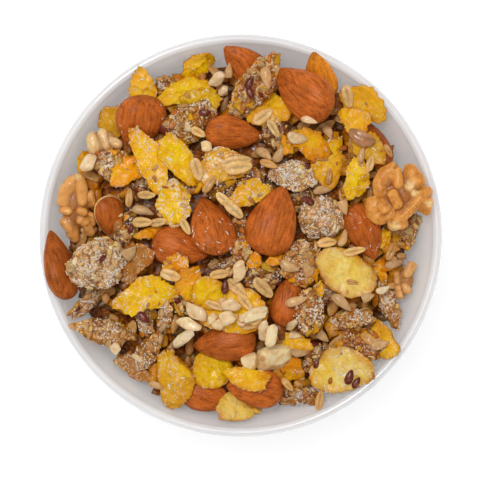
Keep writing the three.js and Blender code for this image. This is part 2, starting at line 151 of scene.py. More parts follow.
class StageSettings(bpy.types.PropertyGroup):
    """Camera, light and floor"""

    view_height: length("View height", "Height of the camera above the rim", 0.760)
    view_width: length("View width", "Width of the view at the rim", 0.1546)
    view_x: FloatProperty(
        name="View X", description="Middle of the view along X", default=-0.0002, unit="LENGTH"
    )
    view_y: FloatProperty(
        name="View Y", description="Middle of the view along Y", default=-0.00145, unit="LENGTH"
    )
    key_power: FloatProperty(
        name="Key power", description="Power of the soft box overhead", default=4.6, min=0, unit="POWER"
    )
    glint_power: FloatProperty(
        name="Glint power", description="Power of the small lamp for glints", default=3.0, min=0, unit="POWER"
    )
    sky: FloatProperty(name="Sky", description="Strength of the light from the sides", default=0.64, min=0)
    floor: colour("Floor", "Colour of the floor", 250, 250, 250)
    floor_glow: FloatProperty(
        name="Floor glow", description="Light that the white floor gives off", default=0.4, min=0
    )


# Layout of the pieces from the lowest to the topmost, as they lie in the bowl: x, y, length and
# width in millimetres and heading in degrees from +X. A piece's number in the list shapes it.

def nut(name, heading):
    """A nut of the frame, on which the pieces listed after it may lie."""
    return {"kind": "nut", "name": name, "heading": heading}


def flake(x, y, long, wide, heading, look, sugar=4, bend=1.0, whole=False, level=False, on_nuts=False):
    """A corn flake, with its number of white crumbs and how much it bends.

    It may be whole, lie nearly level, and lie wholly on the nuts and wall under it.
    """
    return {
        "kind": "flake", "x": x, "y": y, "long": long, "wide": wide, "heading": heading,
        "look": look, "sugar": sugar, "bend": bend, "whole": whole, "level": level, "on_nuts": on_nuts,
    }


def cluster(x, y, long, wide, heading, white=24, kernels=1, shade=1.0, slab=False):
    """A cluster of crumbs and seeds, with its numbers of white shreds and kernels."""
    return {
        "kind": "cluster", "x": x, "y": y, "long": long, "wide": wide, "heading": heading,
        "white": white, "kernels": kernels, "shade": shade, "slab": slab,
    }


def slab(x, y, long, wide, heading):
    """A flat dusted cluster with golden edges."""
    return cluster(x, y, long, wide, heading, white=50, shade=1.1, slab=True)


def low_cluster(x, y, long, wide, heading):
    """A cluster down between the others, darkened with painted shade."""
    return cluster(x, y, long, wide, heading, white=18, kernels=0, shade=0.55)


LAYOUT = [
    flake(-51, 24, 8, 5, 80, "orange"),
    flake(-40.8, 36.4, 14.5, 11, 80, "dull", bend=0.5),
    nut("walnut_5", 10),
    flake(-28.5, 0.8, 11.5, 5, 10, "orange"),
    nut("almond_04", 140),
    nut("almond_08", 108),
    nut("almond_16", 115),
    flake(41.3, 28.2, 13.5, 11, -60, "dull"),
    cluster(54, 1.8, 12, 7, 70),
    flake(46.5, -0.8, 8, 4.5, 80, "golden"),
    flake(45.5, -12, 9, 4, -70, "orange"),
    nut("walnut_4", 80),
    slab(48.4, -23.2, 16, 6, -70),
    flake(-35, -43, 15, 6.5, -32, "glazed", sugar=20, bend=0.5),
    nut("almond_13", -20),
    flake(-0.4, -55.4, 19, 12.5, 0, "pale", bend=0.6),
    cluster(18.2, -52, 15, 6, 0, shade=0.8),
    flake(46.2, -34.2, 16, 9, -55, "golden", bend=0.7),
    cluster(39, -35, 16, 9, -20, kernels=5),
    nut("almond_10", -68),
    nut("almond_15", 80),
    nut("almond_06", -15),
    flake(4.3, -8.2, 7, 5, -85, "orange"),
    flake(11.7, -8.2, 8, 5, -10, "orange"),
    flake(16.4, -34.8, 14.5, 9, -5, "golden", sugar=8, bend=0.6),
    flake(16.9, -43.6, 11, 8, 70, "orange", bend=0.6),
    flake(25, -17.6, 7, 4.5, 80, "golden"),
    cluster(0, -5, 8, 6, 80),
    cluster(-24.3, 48.1, 7, 6, 0),
    slab(-50.6, -22.4, 14, 5.6, 41),
    slab(-43.6, -31, 23, 8, -10),
    slab(-30.8, -28, 10, 5, -65),
    slab(-24.6, -27, 13, 4.8, 78),
    slab(-29.8, -37.5, 13, 7, 60),
    flake(-34.3, -8.5, 16, 11.5, 60, "glazed", sugar=20),
    flake(8.6, 40.8, 15.5, 14, 60, "golden", bend=0.5),
    flake(-14, 55.3, 13, 8.5, 20, "bright"),
    flake(-18.2, 46.5, 18, 10, 20, "bright", bend=0.7),
    flake(-13.1, 43.6, 15.5, 8.5, 10, "bright", bend=0.7),
    cluster(-16.3, 36.5, 18.5, 11, 35, white=50, shade=0.85),
    cluster(4.3, 47.5, 22, 11, 55, white=40),
    flake(-31.8, 47.5, 14, 10.5, 85, "golden", sugar=8),
    nut("almond_01", -100),
    cluster(-40.4, 22.6, 18, 9.5, -15, white=60, shade=0.75),
    flake(-36.1, 20.8, 14, 9.5, 10, "orange", bend=0.6),
    nut("walnut_1", 85),
    nut("almond_02", -80),
    nut("almond_11", 105),
    cluster(-46.1, -9.3, 18.5, 15.5, 20, white=110, kernels=0, shade=1.2),
    flake(-21.4, 10.3, 15.5, 14, 60, "bright", sugar=36, bend=0.5, level=True),
    flake(-29, 24.4, 21.5, 12.5, -60, "golden", sugar=24, bend=0.6, level=True),
    flake(-19.8, 24.2, 24, 9.5, -49, "bright", sugar=10, bend=0.5, level=True),
    flake(-6, 22.2, 21.5, 12, 5, "golden", sugar=40, bend=0.5, level=True),
    nut("almond_03", -5),
    nut("almond_07", 139),
    flake(39.6, 43, 16.5, 13.5, -15, "golden", bend=0.3, on_nuts=True),
    flake(37, 37.2, 14, 9, -12, "golden", bend=0.4),
    flake(28.2, 23.6, 18, 12, 65, "golden", sugar=14, bend=0.5, level=True),
    flake(22.4, 29.8, 15, 11, -25, "orange", bend=0.4),
    flake(37.3, 18.4, 16.5, 9, 80, "bright", sugar=10, bend=0.5, level=True),
    nut("walnut_2", 30),
    cluster(16.2, 19.2, 14, 9.5, -15, white=90, kernels=0, shade=1.2),
    cluster(26.2, 5.6, 15, 13.5, -45, white=90, kernels=0, shade=1.2),
    flake(2.6, 13.4, 15, 10, 30, "golden", sugar=40, bend=0.4, level=True),
    nut("almond_05", 108),
    cluster(19.8, -8.5, 15, 11.5, 70, white=50),
    nut("almond_09", 73),
    cluster(22, -24, 14, 9.5, 80, white=60),
    slab(36.5, -27.2, 15.5, 6.5, 12),
    flake(34, -11.8, 22, 14, -25, "pale", sugar=6, bend=0.7, whole=True, level=True),
    flake(-9.2, -43.4, 14, 13, 0, "bright", bend=0.4, whole=True, on_nuts=True),
    nut("almond_12", 185),
    flake(-21.1, -45.4, 24, 13, 105, "dull", sugar=14, bend=0.8),
    nut("almond_14", 175),
    flake(2.4, -46, 17.5, 8, -10, "golden", bend=0.8),
    nut("walnut_3", 8),
    flake(-30.3, -19, 20.5, 14, 25, "bright", sugar=22, bend=0.6, level=True),
    flake(-20.8, -9.2, 11, 7, 20, "orange", sugar=14),
    flake(-16.6, -15, 13, 9.5, 60, "orange", bend=0.6),
    flake(-3, -24, 24, 15.5, 0, "bright", sugar=12, bend=0.5, whole=True),
    flake(-10.5, -18.4, 12, 11, -30, "bright", bend=0.6, whole=True),
    flake(32.5, -43.6, 21, 15.5, 5, "pale", sugar=24, bend=0.4, whole=True),
]

# Small clusters low between those pieces, numbered on from the first of them: x, y, length, width
# and heading
FIRST_LOW_CLUSTER = 100
LOW_CLUSTERS = [
    (12.8, 31.5, 13, 9, 136), (24.2, -38.8, 8, 7, 44), (-5, 15.6, 12, 6, 25), (3.5, 18.5, 9, 6, 20),
    (7.3, -13.3, 13, 9, 9), (-5, -10.5, 9, 7, 11), (-37.1, 2.1, 12, 7, 70), (27.5, -17.5, 8, 6, 95),
    (-19.6, -21.2, 9, 6, 104), (-33, 15.1, 8, 6, 80), (18.7, 11.6, 8, 6, 57), (-16.2, 16, 9, 5, 0),
    (-0.2, 3.3, 8, 6, 94),
]

# Dark hollows between the pieces, into which few grains fall: x, y and radius
HOLLOWS = [
    (-45.2, -24, 3.6), (-54, -17.5, 3), (45, -24.7, 3), (13, -47.6, 3), (-23.8, 38, 3), (-36, -27, 3),
    (-39.6, -37.5, 3), (-11, -51, 3), (-21.5, -31.5, 3), (-43, 15.3, 2.5), (9.2, -55.8, 2.5),
    (11.6, -26.4, 2.5), (28, -25, 2.5), (-27.8, -32, 2.5), (-24.3, 51, 2.5), (56.2, -5, 2.5),
    (-5.6, 55.2, 2.5), (-30.6, -46.4, 2.5), (49.2, 0, 2), (-11, -8.8, 2), (29.4, -31.7, 2),
    (36.6, 10, 2), (48.8, -13.7, 2), (19.5, -39, 2),
]

# Grains and chips that lie on top, one by one: x, y, heading and size against the usual one
OATS = [
    (-14, 21.2, -75, 1.0), (-1.5, 23.6, 10, 1.3), (-0.7, 21.8, 8, 1.2), (-4.7, 10.8, -43, 1.1),
    (-2.4, 8.5, -43, 1.1), (7.2, -16.8, -45, 1.1), (-6.6, -12.4, 5, 1.0), (-1.2, -16.9, -40, 1.1),
    (-22.4, -12.7, -15, 0.9), (-26.5, 4.3, 10, 0.9), (-31.7, 4.3, 0, 0.9), (-17.7, 2.9, -60, 0.9),
    (7.2, 38.4, 35, 1.0), (10.6, 34.5, -60, 0.9), (41.8, 23.2, 75, 0.7), (36.7, -5.0, 12, 1.0),
    (9.8, -33.0, 70, 0.9), (34.5, 44.9, -80, 1.0), (-30.3, 13.1, 0, 0.9), (27.8, -2.3, 8, 0.9),
    (-4.0, -26.6, 15, 0.9), (3.0, -28.5, 10, 1.0), (5.8, -25.6, 50, 1.0), (-8.2, -22.5, -20, 0.9),
    (-13.6, 33.2, -30, 0.7), (1.6, -21.5, -50, 1.0),
]
SUNFLOWERS = [
    (12.4, 26.0, 60, 0.9), (26.4, 14.7, 5, 1.0), (32.7, 10.1, -70, 1.1), (33.2, -0.7, 70, 1.0),
    (38.8, 26.0, 80, 0.8), (25.9, -32.2, -45, 1.0), (50.1, -9.2, 15, 1.1), (7.7, 26.4, -35, 1.0),
    (-36.2, -6.1, 35, 1.2), (-31.4, 8.1, -15, 1.1), (8.3, 50.4, -80, 1.1), (-3.9, 52.2, 80, 1.1),
    (15.6, -10.1, -25, 1.0), (32.7, -21.5, -40, 1.2), (40.0, -20.1, 20, 1.0), (19.1, -38.0, -5, 1.0),
    (-27.2, -48.4, -20, 0.8), (-5.8, -21.0, -70, 0.9), (17.8, -21.0, 15, 1.1), (28.4, 33.6, -60, 0.9),
]
GRAINS = [
    (49.0, -5.0, 65, 1.0), (41.7, -33.7, -35, 1.1), (15.1, -48.1, -50, 0.8), (47.6, 27.3, -60, 0.7),
    (-35.9, 12.2, 85, 0.9), (0.0, -12.0, 40, 0.9), (25.5, -53.1, 80, 1.0), (9.0, 23.0, -20, 0.9),
    (28.6, 19.0, 80, 0.8), (-10.0, 16.5, 55, 1.0), (36.0, -15.0, -10, 0.6),
]
NUT_CHIPS = [
    (-7.7, 50.4, 20, 0.8), (-48.6, 23.5, 30, 0.9), (-5.5, 46.8, 0, 0.6),
    (-11.1, 28.7, 0, 0.6), (-40.3, -36.4, -50, 0.6), (0.2, -28.3, 20, 0.4),
]
PALE_KERNELS = [
    (-14.2, -24.5, -55, 1.1), (-9.1, -26.6, 20, 0.7), (-7.0, -28.2, -20, 0.8), (-4.4, -26.4, 20, 0.9),
    (-3.2, -22.4, 30, 1.0), (1.5, -26.0, 60, 0.8), (4.9, -25.3, 40, 1.1), (-16.7, -28.7, -5, 1.1),
    (-18.4, -33.0, 50, 1.2), (7.4, -30.4, 90, 1.1), (10.0, -32.0, 70, 1.1), (16.3, -28.7, 20, 0.8),
    (-0.6, -11.4, 60, 1.0),
]
FLAX = [
    (-5.0, -16.5, 85, 1.0), (35.0, -45.6, 70, 1.1), (37.2, -47.4, 60, 0.9), (2.9, 49.0, 60, 1.0),
    (3.2, 45.3, -70, 1.0), (-31.2, -26.4, -40, 1.1), (24.5, -41.5, 70, 0.7), (-11.5, 39.5, 0, 0.9),
]
BEANS = [(38.8, 31.2, -25, 1.0)]
SLIVERS = [(18.3, 31.2, -12, 1.1), (21.9, 36.8, -15, 0.8), (16.7, -32, -10, 0.9), (46.0, -17.5, 20, 0.9)]

# Nuts with a look of their own. Dark almonds have a share of the usual brightness, dusted ones a
# number of white shreds.
LIGHT_ALMONDS = ("almond_08",)
DARK_ALMONDS = {"almond_02": 0.84, "almond_11": 0.74, "almond_12": 0.86}
DUSTED_ALMONDS = {"almond_05": 26, "almond_06": 8, "almond_10": 16, "almond_01": 4}
HALF_ALMONDS = ("almond_02",)
GLASSY_WALNUTS = ("walnut_1", "walnut_3", "walnut_5")


# Mesh helpers

def phase(number, wave):
    """One fixed phase for each piece number and wave number."""
    return (number * GOLDEN_ANGLE + wave * PHASE_STEP) % TAU


def linear(shown):
    """A shown colour as light, by the standard curve of screens (sRGB)."""
    shown = np.asarray(shown, float)
    return np.where(shown > 0.04045, ((shown + 0.055) / 1.055) ** 2.4, shown / 12.92)


def noise_at(points, feature, number):
    """Smooth noise from -1 to 1 with features of a size, unlike for each number."""
    shift = Vector([number * step for step in NOISE_STEPS])
    return np.array([noise.noise(Vector(point) / feature + shift) for point in points])


def bell(distance, width):
    """1 at no distance, falling to nothing on both sides over a width."""
    return np.exp(-(distance / width) ** 2)


def taken_apart(shape):
    """Points and triangles of a bmesh, which is then freed.

    The triangles are put in order, because bmesh lists them in another order each time.
    """
    bmesh.ops.triangulate(shape, faces=shape.faces, quad_method="FIXED")
    shape.verts.index_update()
    points = np.array([vertex.co for vertex in shape.verts])
    triangles = np.array([[vertex.index for vertex in face.verts] for face in shape.faces])
    shape.free()
    turns = (triangles.argmin(axis=1)[:, None] + np.arange(3)) % 3
    triangles = np.take_along_axis(triangles, turns, axis=1)
    return points, triangles[np.lexsort(triangles.T[::-1])]


@lru_cache(maxsize=None)
def upright_sphere(sides, rings):
    """A unit sphere with its poles on the Z axis."""
    shape = bmesh.new()
    bmesh.ops.create_uvsphere(shape, u_segments=sides, v_segments=rings, radius=1)
    return taken_apart(shape)


@lru_cache(maxsize=None)
def lengthwise_sphere(sides, rings):
    """A unit sphere with its poles on the X axis."""
    points, triangles = upright_sphere(sides, rings)
    return np.stack([points[:, 2], points[:, 1], -points[:, 0]], axis=1), triangles


@lru_cache(maxsize=None)
def even_sphere(subdivisions):
    """A unit sphere of even triangles."""
    shape = bmesh.new()
    bmesh.ops.create_icosphere(shape, subdivisions=subdivisions, radius=1)
    return taken_apart(shape)


def turned(heading, along=0, across=0):
    """Rotation by a heading, after a lean along the length and one across it, in degrees."""
    h, a, b = np.radians([heading, along, across])
    spin = np.array([[math.cos(h), -math.sin(h), 0], [math.sin(h), math.cos(h), 0], [0, 0, 1]])
    pitch = np.array([[math.cos(a), 0, math.sin(a)], [0, 1, 0], [-math.sin(a), 0, math.cos(a)]])
    roll = np.array([[1, 0, 0], [0, math.cos(b), -math.sin(b)], [0, math.sin(b), math.cos(b)]])
    return spin @ pitch @ roll


def sampled(points, triangles):
    """A shape's points with the middles of its triangles and edges."""
    a, b, c = (points[triangles[:, corner]] for corner in range(3))
    return np.concatenate([points, (a + b + c) / 3, (a + b) / 2, (b + c) / 2, (c + a) / 2])


def with_flats(points, number, cuts, depth, tilt):
    """Points of a unit ball pressed in to flat cuts all round, tilted up and down by an angle at most."""
    flat = points.copy()
    for cut in range(cuts):
        azimuth = phase(number, cut + 1) + cut
        slope = tilt * math.sin(CUT_STEP * cut + number)
        level = math.cos(slope)
        side = np.array([math.cos(azimuth) * level, math.sin(azimuth) * level, math.sin(slope)])
        flat -= (flat @ side - depth).clip(0)[:, None] * side
    return flat


def new_piece(name, points, triangles, finish, slot, nodes, **attributes):
    """A finished smooth mesh in the frame, riding on the body in place of some nodes."""
    mesh = bpy.data.meshes.new(name)
    mesh.from_pydata((points * MM).tolist(), [], triangles.tolist(), shade_flat=False)
    for attribute_name, values in attributes.items():
        kind, field = ("FLOAT", "value") if np.ndim(values) == 1 else ("FLOAT_VECTOR", "vector")
        attribute = mesh.attributes.new(attribute_name, kind, "POINT")
        attribute.data.foreach_set(field, np.asarray(values, np.float32).ravel())
    mesh.materials.append(finish)
    piece = bpy.data.objects.new(name, mesh)
    bpy.context.scene.collection.objects.link(piece)
    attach(piece, BODY)
    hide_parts(*nodes)
    return piece


class Batch:
    """Shapes of one kind, gathered for one joined mesh."""

    def __init__(self):
        self.points = []
        self.triangles = []
        self.tints = []
        self.frosts = []
        self.count = 0

    def add(self, points, triangles, tint, frost=0.0):
        """Adds a shape with a colour for all its points or for each, and its share of sugar."""
        self.points.append(points)
        self.triangles.append(triangles + self.count)
        self.tints.append(np.broadcast_to(tint, points.shape))
        self.frosts.append(np.broadcast_to(frost, len(points)))
        self.count += len(points)

    def piece(self, name, finish):
        """The joined mesh, one of those that stand for the heap."""
        points = np.concatenate(self.points)
        triangles = np.concatenate(self.triangles)
        tints = np.concatenate(self.tints)
        frosts = np.concatenate(self.frosts)
        return new_piece(
            name, points, triangles, finish, "granola", [HEAP_NODE], tint=tints, frost=frosts
        )


# Finishes

# Places of the Mix node's sockets for colours
MIX_FACTOR = 0
MIX_FIRST = 6
MIX_SECOND = 7
MIX_RESULT = 2
# Ramps along noise that keep the specks of sugar apart, and the patches in which they lie
FROST_SPECKS = ((0.48, 0.0), (0.58, 1.0))
FROST_PATCHES = ((0.48, 0.0), (0.6, 1.0))
FROST_PATCH_SIZE = 5


def set_stops(elements, stops):
    """Gives a ramp its stops: a position and a grey level or colour each."""
    while len(elements) < len(stops):
        elements.new(1)
    for element, (position, level) in zip(elements, stops):
        element.position = position
        shade = level if isinstance(level, tuple) else (level, level, level)
        element.color = (*shade, 1)


class Finish:
    """A material, with short calls for the nodes that its colour and relief are made of."""

    def __init__(self, name, **sockets):
        self.material = bpy.data.materials.new(name)
        self.material.use_nodes = True
        self.nodes = self.material.node_tree.nodes
        self.links = self.material.node_tree.links
        self.shader = self.nodes["Principled BSDF"]
        for socket, value in sockets.items():
            self.shader.inputs[socket.replace("_", " ")].default_value = value

    def attribute(self, name, output="Vector"):
        """A value that each point of the mesh carries."""
        node = self.nodes.new("ShaderNodeAttribute")
        node.attribute_name = name
        return node.outputs[output]

    def place(self):
        """The place on the piece, in metres."""
        return self.nodes.new("ShaderNodeTexCoord").outputs["Object"]

    def noise(self, vector, feature, detail=2.0):
        """Noise with features of a size in the vector's own unit."""
        node = self.nodes.new("ShaderNodeTexNoise")
        node.inputs["Scale"].default_value = 1 / feature
        node.inputs["Detail"].default_value = detail
        self.links.new(vector, node.inputs["Vector"])
        return node.outputs["Fac"]

    def cells(self, vector, feature, output="Distance"):
        """Rounded cells of a size, as distances from their middles or as colours."""
        node = self.nodes.new("ShaderNodeTexVoronoi")
        node.inputs["Scale"].default_value = 1 / feature
        self.links.new(vector, node.inputs["Vector"])
        return node.outputs[output]

    def ramp(self, factor, *stops):
        """Grey levels or colours along a factor."""
        node = self.nodes.new("ShaderNodeValToRGB")
        set_stops(node.color_ramp.elements, stops)
        self.links.new(factor, node.inputs["Fac"])
        return node.outputs["Color"]

    def blend(self, kind, factor, first, second):
        """Two colours blended; the factor and the second colour may be plain values."""
        node = self.nodes.new("ShaderNodeMix")
        node.data_type = "RGBA"
        node.blend_type = kind
        node.clamp_result = False
        self.links.new(first, node.inputs[MIX_FIRST])
        for value, socket in ((factor, node.inputs[MIX_FACTOR]), (second, node.inputs[MIX_SECOND])):
            if isinstance(value, bpy.types.NodeSocket):
                self.links.new(value, socket)
            else:
                socket.default_value = value
        return node.outputs[MIX_RESULT]

    def shaded(self, body, factor, *stops, share=1):
        """A colour times the levels along a factor, as strongly as a share says."""
        return self.blend("MULTIPLY", share, body, self.ramp(factor, *stops))

    def frosted(self, body, white, feature):
        """A colour under specks of sugar, as many as the frost attribute says."""
        amount = self.attribute("frost", "Color")
        specks = self.ramp(self.noise(self.place(), feature, detail=4), *FROST_SPECKS)
        patches = self.ramp(self.noise(self.place(), FROST_PATCH_SIZE * feature, detail=3), *FROST_PATCHES)
        share = self.blend("MULTIPLY", 1, specks, patches)
        share = self.blend("MULTIPLY", 1, share, amount)
        return self.blend("MIX", share, body, (*linear(white), 1))

    def paint(self, colour_socket):
        self.links.new(colour_socket, self.shader.inputs["Base Color"])

    def clouded(self, shown, feature, least):
        """Paints a shown colour with clouds of a size, the darkest at a least share of it."""
        base = tuple(linear(shown))
        dark = tuple(least * level for level in base)
        self.paint(self.ramp(self.noise(self.place(), feature), (0.3, dark), (0.7, base)))

    def relief(self, height, depth, under=None):
        """Bumps of a depth in metres, on top of the bumps under them."""
        node = self.nodes.new("ShaderNodeBump")
        node.inputs["Strength"].default_value = 1
        node.inputs["Distance"].default_value = depth
        self.links.new(height, node.inputs["Height"])
        if under is not None:
            self.links.new(under, node.inputs["Normal"])
        self.links.new(node.outputs["Normal"], self.shader.inputs["Normal"])
        return node.outputs["Normal"]


def porcelain_finish(glaze):
    """Smooth glaze, faintly uneven, with light soaking in."""
    finish = Finish(
        "white_glaze", Roughness=0.16, Specular_IOR_Level=0.5, Subsurface_Weight=1.0,
        Subsurface_Radius=(1, 0.95, 0.9), Subsurface_Scale=12 * MM,
    )
    finish.clouded(glaze, 18 * MM, least=0.97)
    finish.relief(finish.noise(finish.place(), 9 * MM, detail=1), depth=0.00003)
    return finish.material


def almond_finish():
    """Brown skin with a faint shine, streaked and ribbed along the nut."""
    finish = Finish("almond_skin", Roughness=0.33, Specular_IOR_Level=0.14)
    along = finish.attribute("along")
    streak = finish.noise(along, 0.9, detail=3)
    speck = finish.noise(finish.place(), 0.4 * MM, detail=2)
    cloud = finish.noise(finish.place(), 4 * MM)
    skin = finish.attribute("tint")
    skin = finish.shaded(skin, streak, (0.3, (0.62, 0.5, 0.42)), (0.46, 0.95), (0.7, (1.22, 1.3, 1.36)))
    skin = finish.shaded(skin, speck, (0.34, (0.76, 0.66, 0.56)), (0.48, 1.0), (0.68, (1.08, 1.1, 1.12)))
    finish.paint(finish.shaded(skin, cloud, (0.3, 0.8), (0.7, 1.16)))
    finish.relief(speck, depth=0.00008, under=finish.relief(streak, depth=0.0002))
    return finish.material


def translucent(finish, depth):
    """Light soaks in to a depth in millimetres, red the farthest."""
    finish.shader.inputs["Subsurface Weight"].default_value = 0.45
    finish.shader.inputs["Subsurface Radius"].default_value = (1, 0.6, 0.2)
    finish.shader.inputs["Subsurface Scale"].default_value = depth * MM


def walnut_finish(name, veins, glaze):
    """Papery golden skin or broken flesh, with fine veins as strong as a share says."""
    finish = Finish(name, Roughness=0.36, Specular_IOR_Level=0.2, Coat_Weight=glaze, Coat_Roughness=0.16)
    translucent(finish, 1.2)
    vein = finish.noise(finish.place(), 4 * MM, detail=3)
    cloud = finish.noise(finish.place(), 3 * MM, detail=3)
    speck = finish.noise(finish.place(), 0.5 * MM, detail=2)
    skin = finish.attribute("tint")
    skin = finish.shaded(skin, cloud, (0.34, (0.84, 0.74, 0.58)), (0.52, 1.0), (0.7, (1.1, 1.14, 1.2)))
    skin = finish.shaded(skin, vein, (0.46, 1.0), (0.5, (0.72, 0.58, 0.44)), (0.54, 1.0), share=veins)
    finish.paint(skin)
    finish.relief(speck, depth=0.00005, under=finish.relief(cloud, depth=0.0003))
    return finish.material


def flake_finish(name, white):
    """Crisp blistered corn flake, with specks of sugar."""
    finish = Finish(name, Roughness=0.4, Specular_IOR_Level=0.08, Coat_Weight=0.28, Coat_Roughness=0.2)
    translucent(finish, 1.0)
    blotch = finish.noise(finish.place(), 3.4 * MM, detail=3)
    grit = finish.noise(finish.place(), 0.8 * MM, detail=2)
    blister = finish.cells(finish.place(), 1.8 * MM)
    body = finish.attribute("tint")
    body = finish.shaded(body, blotch, (0.34, (0.95, 0.84, 0.6)), (0.52, 1.0), (0.7, (1.03, 1.08, 1.5)))
    body = finish.shaded(body, grit, (0.3, (0.96, 0.94, 0.88)), (0.62, 1.03))
    finish.paint(finish.frosted(body, white, 0.9 * MM))
    finish.relief(grit, depth=0.00025, under=finish.relief(blister, depth=0.0006))
    return finish.material


CRUMB_SIZE = 1.3 * MM


def cluster_finish(white):
    """Baked crumbs of many browns with painted shade dark in the cracks between them, and specks of sugar."""
    finish = Finish(
        "baked_crumbs", Roughness=0.36, Specular_IOR_Level=0.12, Coat_Weight=0.25, Coat_Roughness=0.14
    )
    crumb = finish.cells(finish.place(), CRUMB_SIZE, output="Color")
    away = finish.cells(finish.place(), CRUMB_SIZE)
    grit = finish.noise(finish.place(), 0.6 * MM, detail=3)
    body = finish.attribute("tint")
    body = finish.shaded(
        body, crumb, (0.1, (0.6, 0.5, 0.4)), (0.5, (1.0, 0.95, 0.85)), (0.9, (1.35, 1.3, 1.2))
    )
    # Painted shade, darker towards the cracks between the crumbs
    body = finish.shaded(body, away, (0.25, 1.05), (0.75, (0.5, 0.38, 0.28)))
    body = finish.shaded(body, grit, (0.3, 0.75), (0.7, 1.15))
    finish.paint(finish.frosted(body, white, 0.8 * MM))
    crumbs = finish.relief(finish.ramp(away, (0.1, 1.0), (0.8, 0.0)), depth=0.0006)
    finish.relief(grit, depth=0.0002, under=crumbs)
    return finish.material


def grain_finish(name, feature, roughness, depth, white, glaze):
    """Toasted surface of a grain, chip or crumb, mottled at a size in millimetres."""
    finish = Finish(
        name, Roughness=roughness, Specular_IOR_Level=0.15, Coat_Weight=glaze, Coat_Roughness=0.14
    )
    translucent(finish, 0.8)
    mottle = finish.noise(finish.place(), feature * MM, detail=3)
    body = finish.attribute("tint")
    body = finish.shaded(body, mottle, (0.3, (0.84, 0.74, 0.6)), (0.52, 1.0), (0.72, (1.06, 1.08, 1.12)))
    finish.paint(finish.frosted(body, white, 0.4 * MM))
    finish.relief(mottle, depth)
    return finish.material


# Bowl

class BowlForm:
    """The bowl's profile, in millimetres."""

    FLARE = 0.6
    STEP_CROWDING = 1.6

    def __init__(self, sizes):
        self.rim_radius = sizes.rim_radius / MM
        self.lip = sizes.rim_thickness / MM / 2
        self.rim_foot = sizes.height / MM - self.lip
        self.rim_inner = self.rim_radius - 2 * self.lip
        self.rim_middle = self.rim_radius - self.lip
        self.foot_radius = sizes.foot_radius / MM
        self.foot_width = sizes.foot_width / MM
        self.foot_edge = sizes.foot_edge / MM
        self.foot_recess = sizes.foot_recess / MM
        self.wall_start = sizes.wall_start / MM
        self.floor_height = sizes.floor_height / MM
        self.floor_radius = sizes.floor_radius / MM

    def inner_radius(self, height):
        share = (np.asarray(height) - self.floor_height) / (self.rim_foot - self.floor_height)
        return self.floor_radius + (self.rim_inner - self.floor_radius) * share.clip(0) ** self.FLARE

    def outer_radius(self, height):
        share = (np.asarray(height) - self.wall_start) / (self.rim_foot - self.wall_start)
        return self.foot_radius + (self.rim_radius - self.foot_radius) * share.clip(0) ** self.FLARE

    def top(self, radius):
        """Height of the inside, or of the rim, at distances from the axis."""
        share = ((radius - self.floor_radius) / (self.rim_inner - self.floor_radius)).clip(0, 1)
        inside = self.floor_height + (self.rim_foot - self.floor_height) * share ** (1 / self.FLARE)
        across = (radius - self.rim_middle).clip(-self.lip, self.lip)
        rim = self.rim_foot + np.sqrt(self.lip ** 2 - across ** 2)
        shown = np.where(radius <= self.rim_inner, inside, rim)
        return np.where(radius < self.rim_radius, shown, 0)

    def kept_inside(self, points, clearance):
        """Points that would lie in the wall, drawn in to its inner face."""
        height = points[:, 2]
        above = (height - self.rim_foot).clip(0, self.lip)
        lip_reach = np.where(height > self.rim_foot, self.rim_middle - np.sqrt(self.lip ** 2 - above ** 2), 0)
        limit = np.maximum(self.inner_radius(np.minimum(height, self.rim_foot)), lip_reach) - clearance
        limit = np.where(height > self.rim_foot + self.lip + clearance, np.inf, limit)
        radius = np.hypot(points[:, 0], points[:, 1])
        kept = points.copy()
        kept[:, :2] *= np.minimum(1, limit / radius.clip(LEAST_RADIUS))[:, None]
        return kept

    def profile(self, wall_steps=40, lip_steps=16, foot_steps=5):
        """Radius and height round the section, from the axis below to the axis inside.

        The steps up the wall lie closer together towards the foot.
        """
        corner = np.linspace(0, math.pi / 2, foot_steps)
        edge = self.foot_edge
        inner_foot = self.foot_radius - self.foot_width
        wall = np.linspace(0, 1, wall_steps) ** self.STEP_CROWDING
        outer = self.wall_start + (self.rim_foot - self.wall_start) * wall
        inner = self.floor_height + (self.rim_foot - self.floor_height) * wall[::-1]
        turn = np.linspace(0, math.pi, lip_steps)[1:-1]
        stretches = [
            ([0, inner_foot - 2 * edge], [self.foot_recess, self.foot_recess]),
            (inner_foot + edge * (1 - np.cos(corner)), edge * (1 - np.sin(corner))),
            (self.foot_radius - edge * (1 - np.sin(corner)), edge * (1 - np.cos(corner))),
            (self.outer_radius(outer), outer),
            (self.rim_middle + self.lip * np.cos(turn), self.rim_foot + self.lip * np.sin(turn)),
            (self.inner_radius(inner), inner),
            ([0], [self.floor_height]),
        ]
        return np.concatenate([np.stack(stretch, axis=1) for stretch in stretches])


MERGE_DISTANCE = 0.01


def bowl_shape(form, steps=160):
    """The bowl's section spun round its axis."""
    shape = bmesh.new()
    corners = [shape.verts.new((radius, 0, height)) for radius, height in form.profile()]
    edges = [shape.edges.new(pair) for pair in zip(corners, corners[1:])]
    bmesh.ops.spin(
        shape, geom=corners + edges, cent=(0, 0, 0), axis=(0, 0, 1), angle=TAU, steps=steps, use_merge=True
    )
    bmesh.ops.remove_doubles(shape, verts=shape.verts, dist=MERGE_DISTANCE)
    bmesh.ops.recalc_face_normals(shape, faces=shape.faces)
    return taken_apart(shape)


# Nuts

def node_points(name):
    """The corners of a node's mesh, in millimetres."""
    corners = np.array([vertex.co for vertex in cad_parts[name].data.vertices])
    return np.unique(np.round(corners / MM, 3), axis=0)


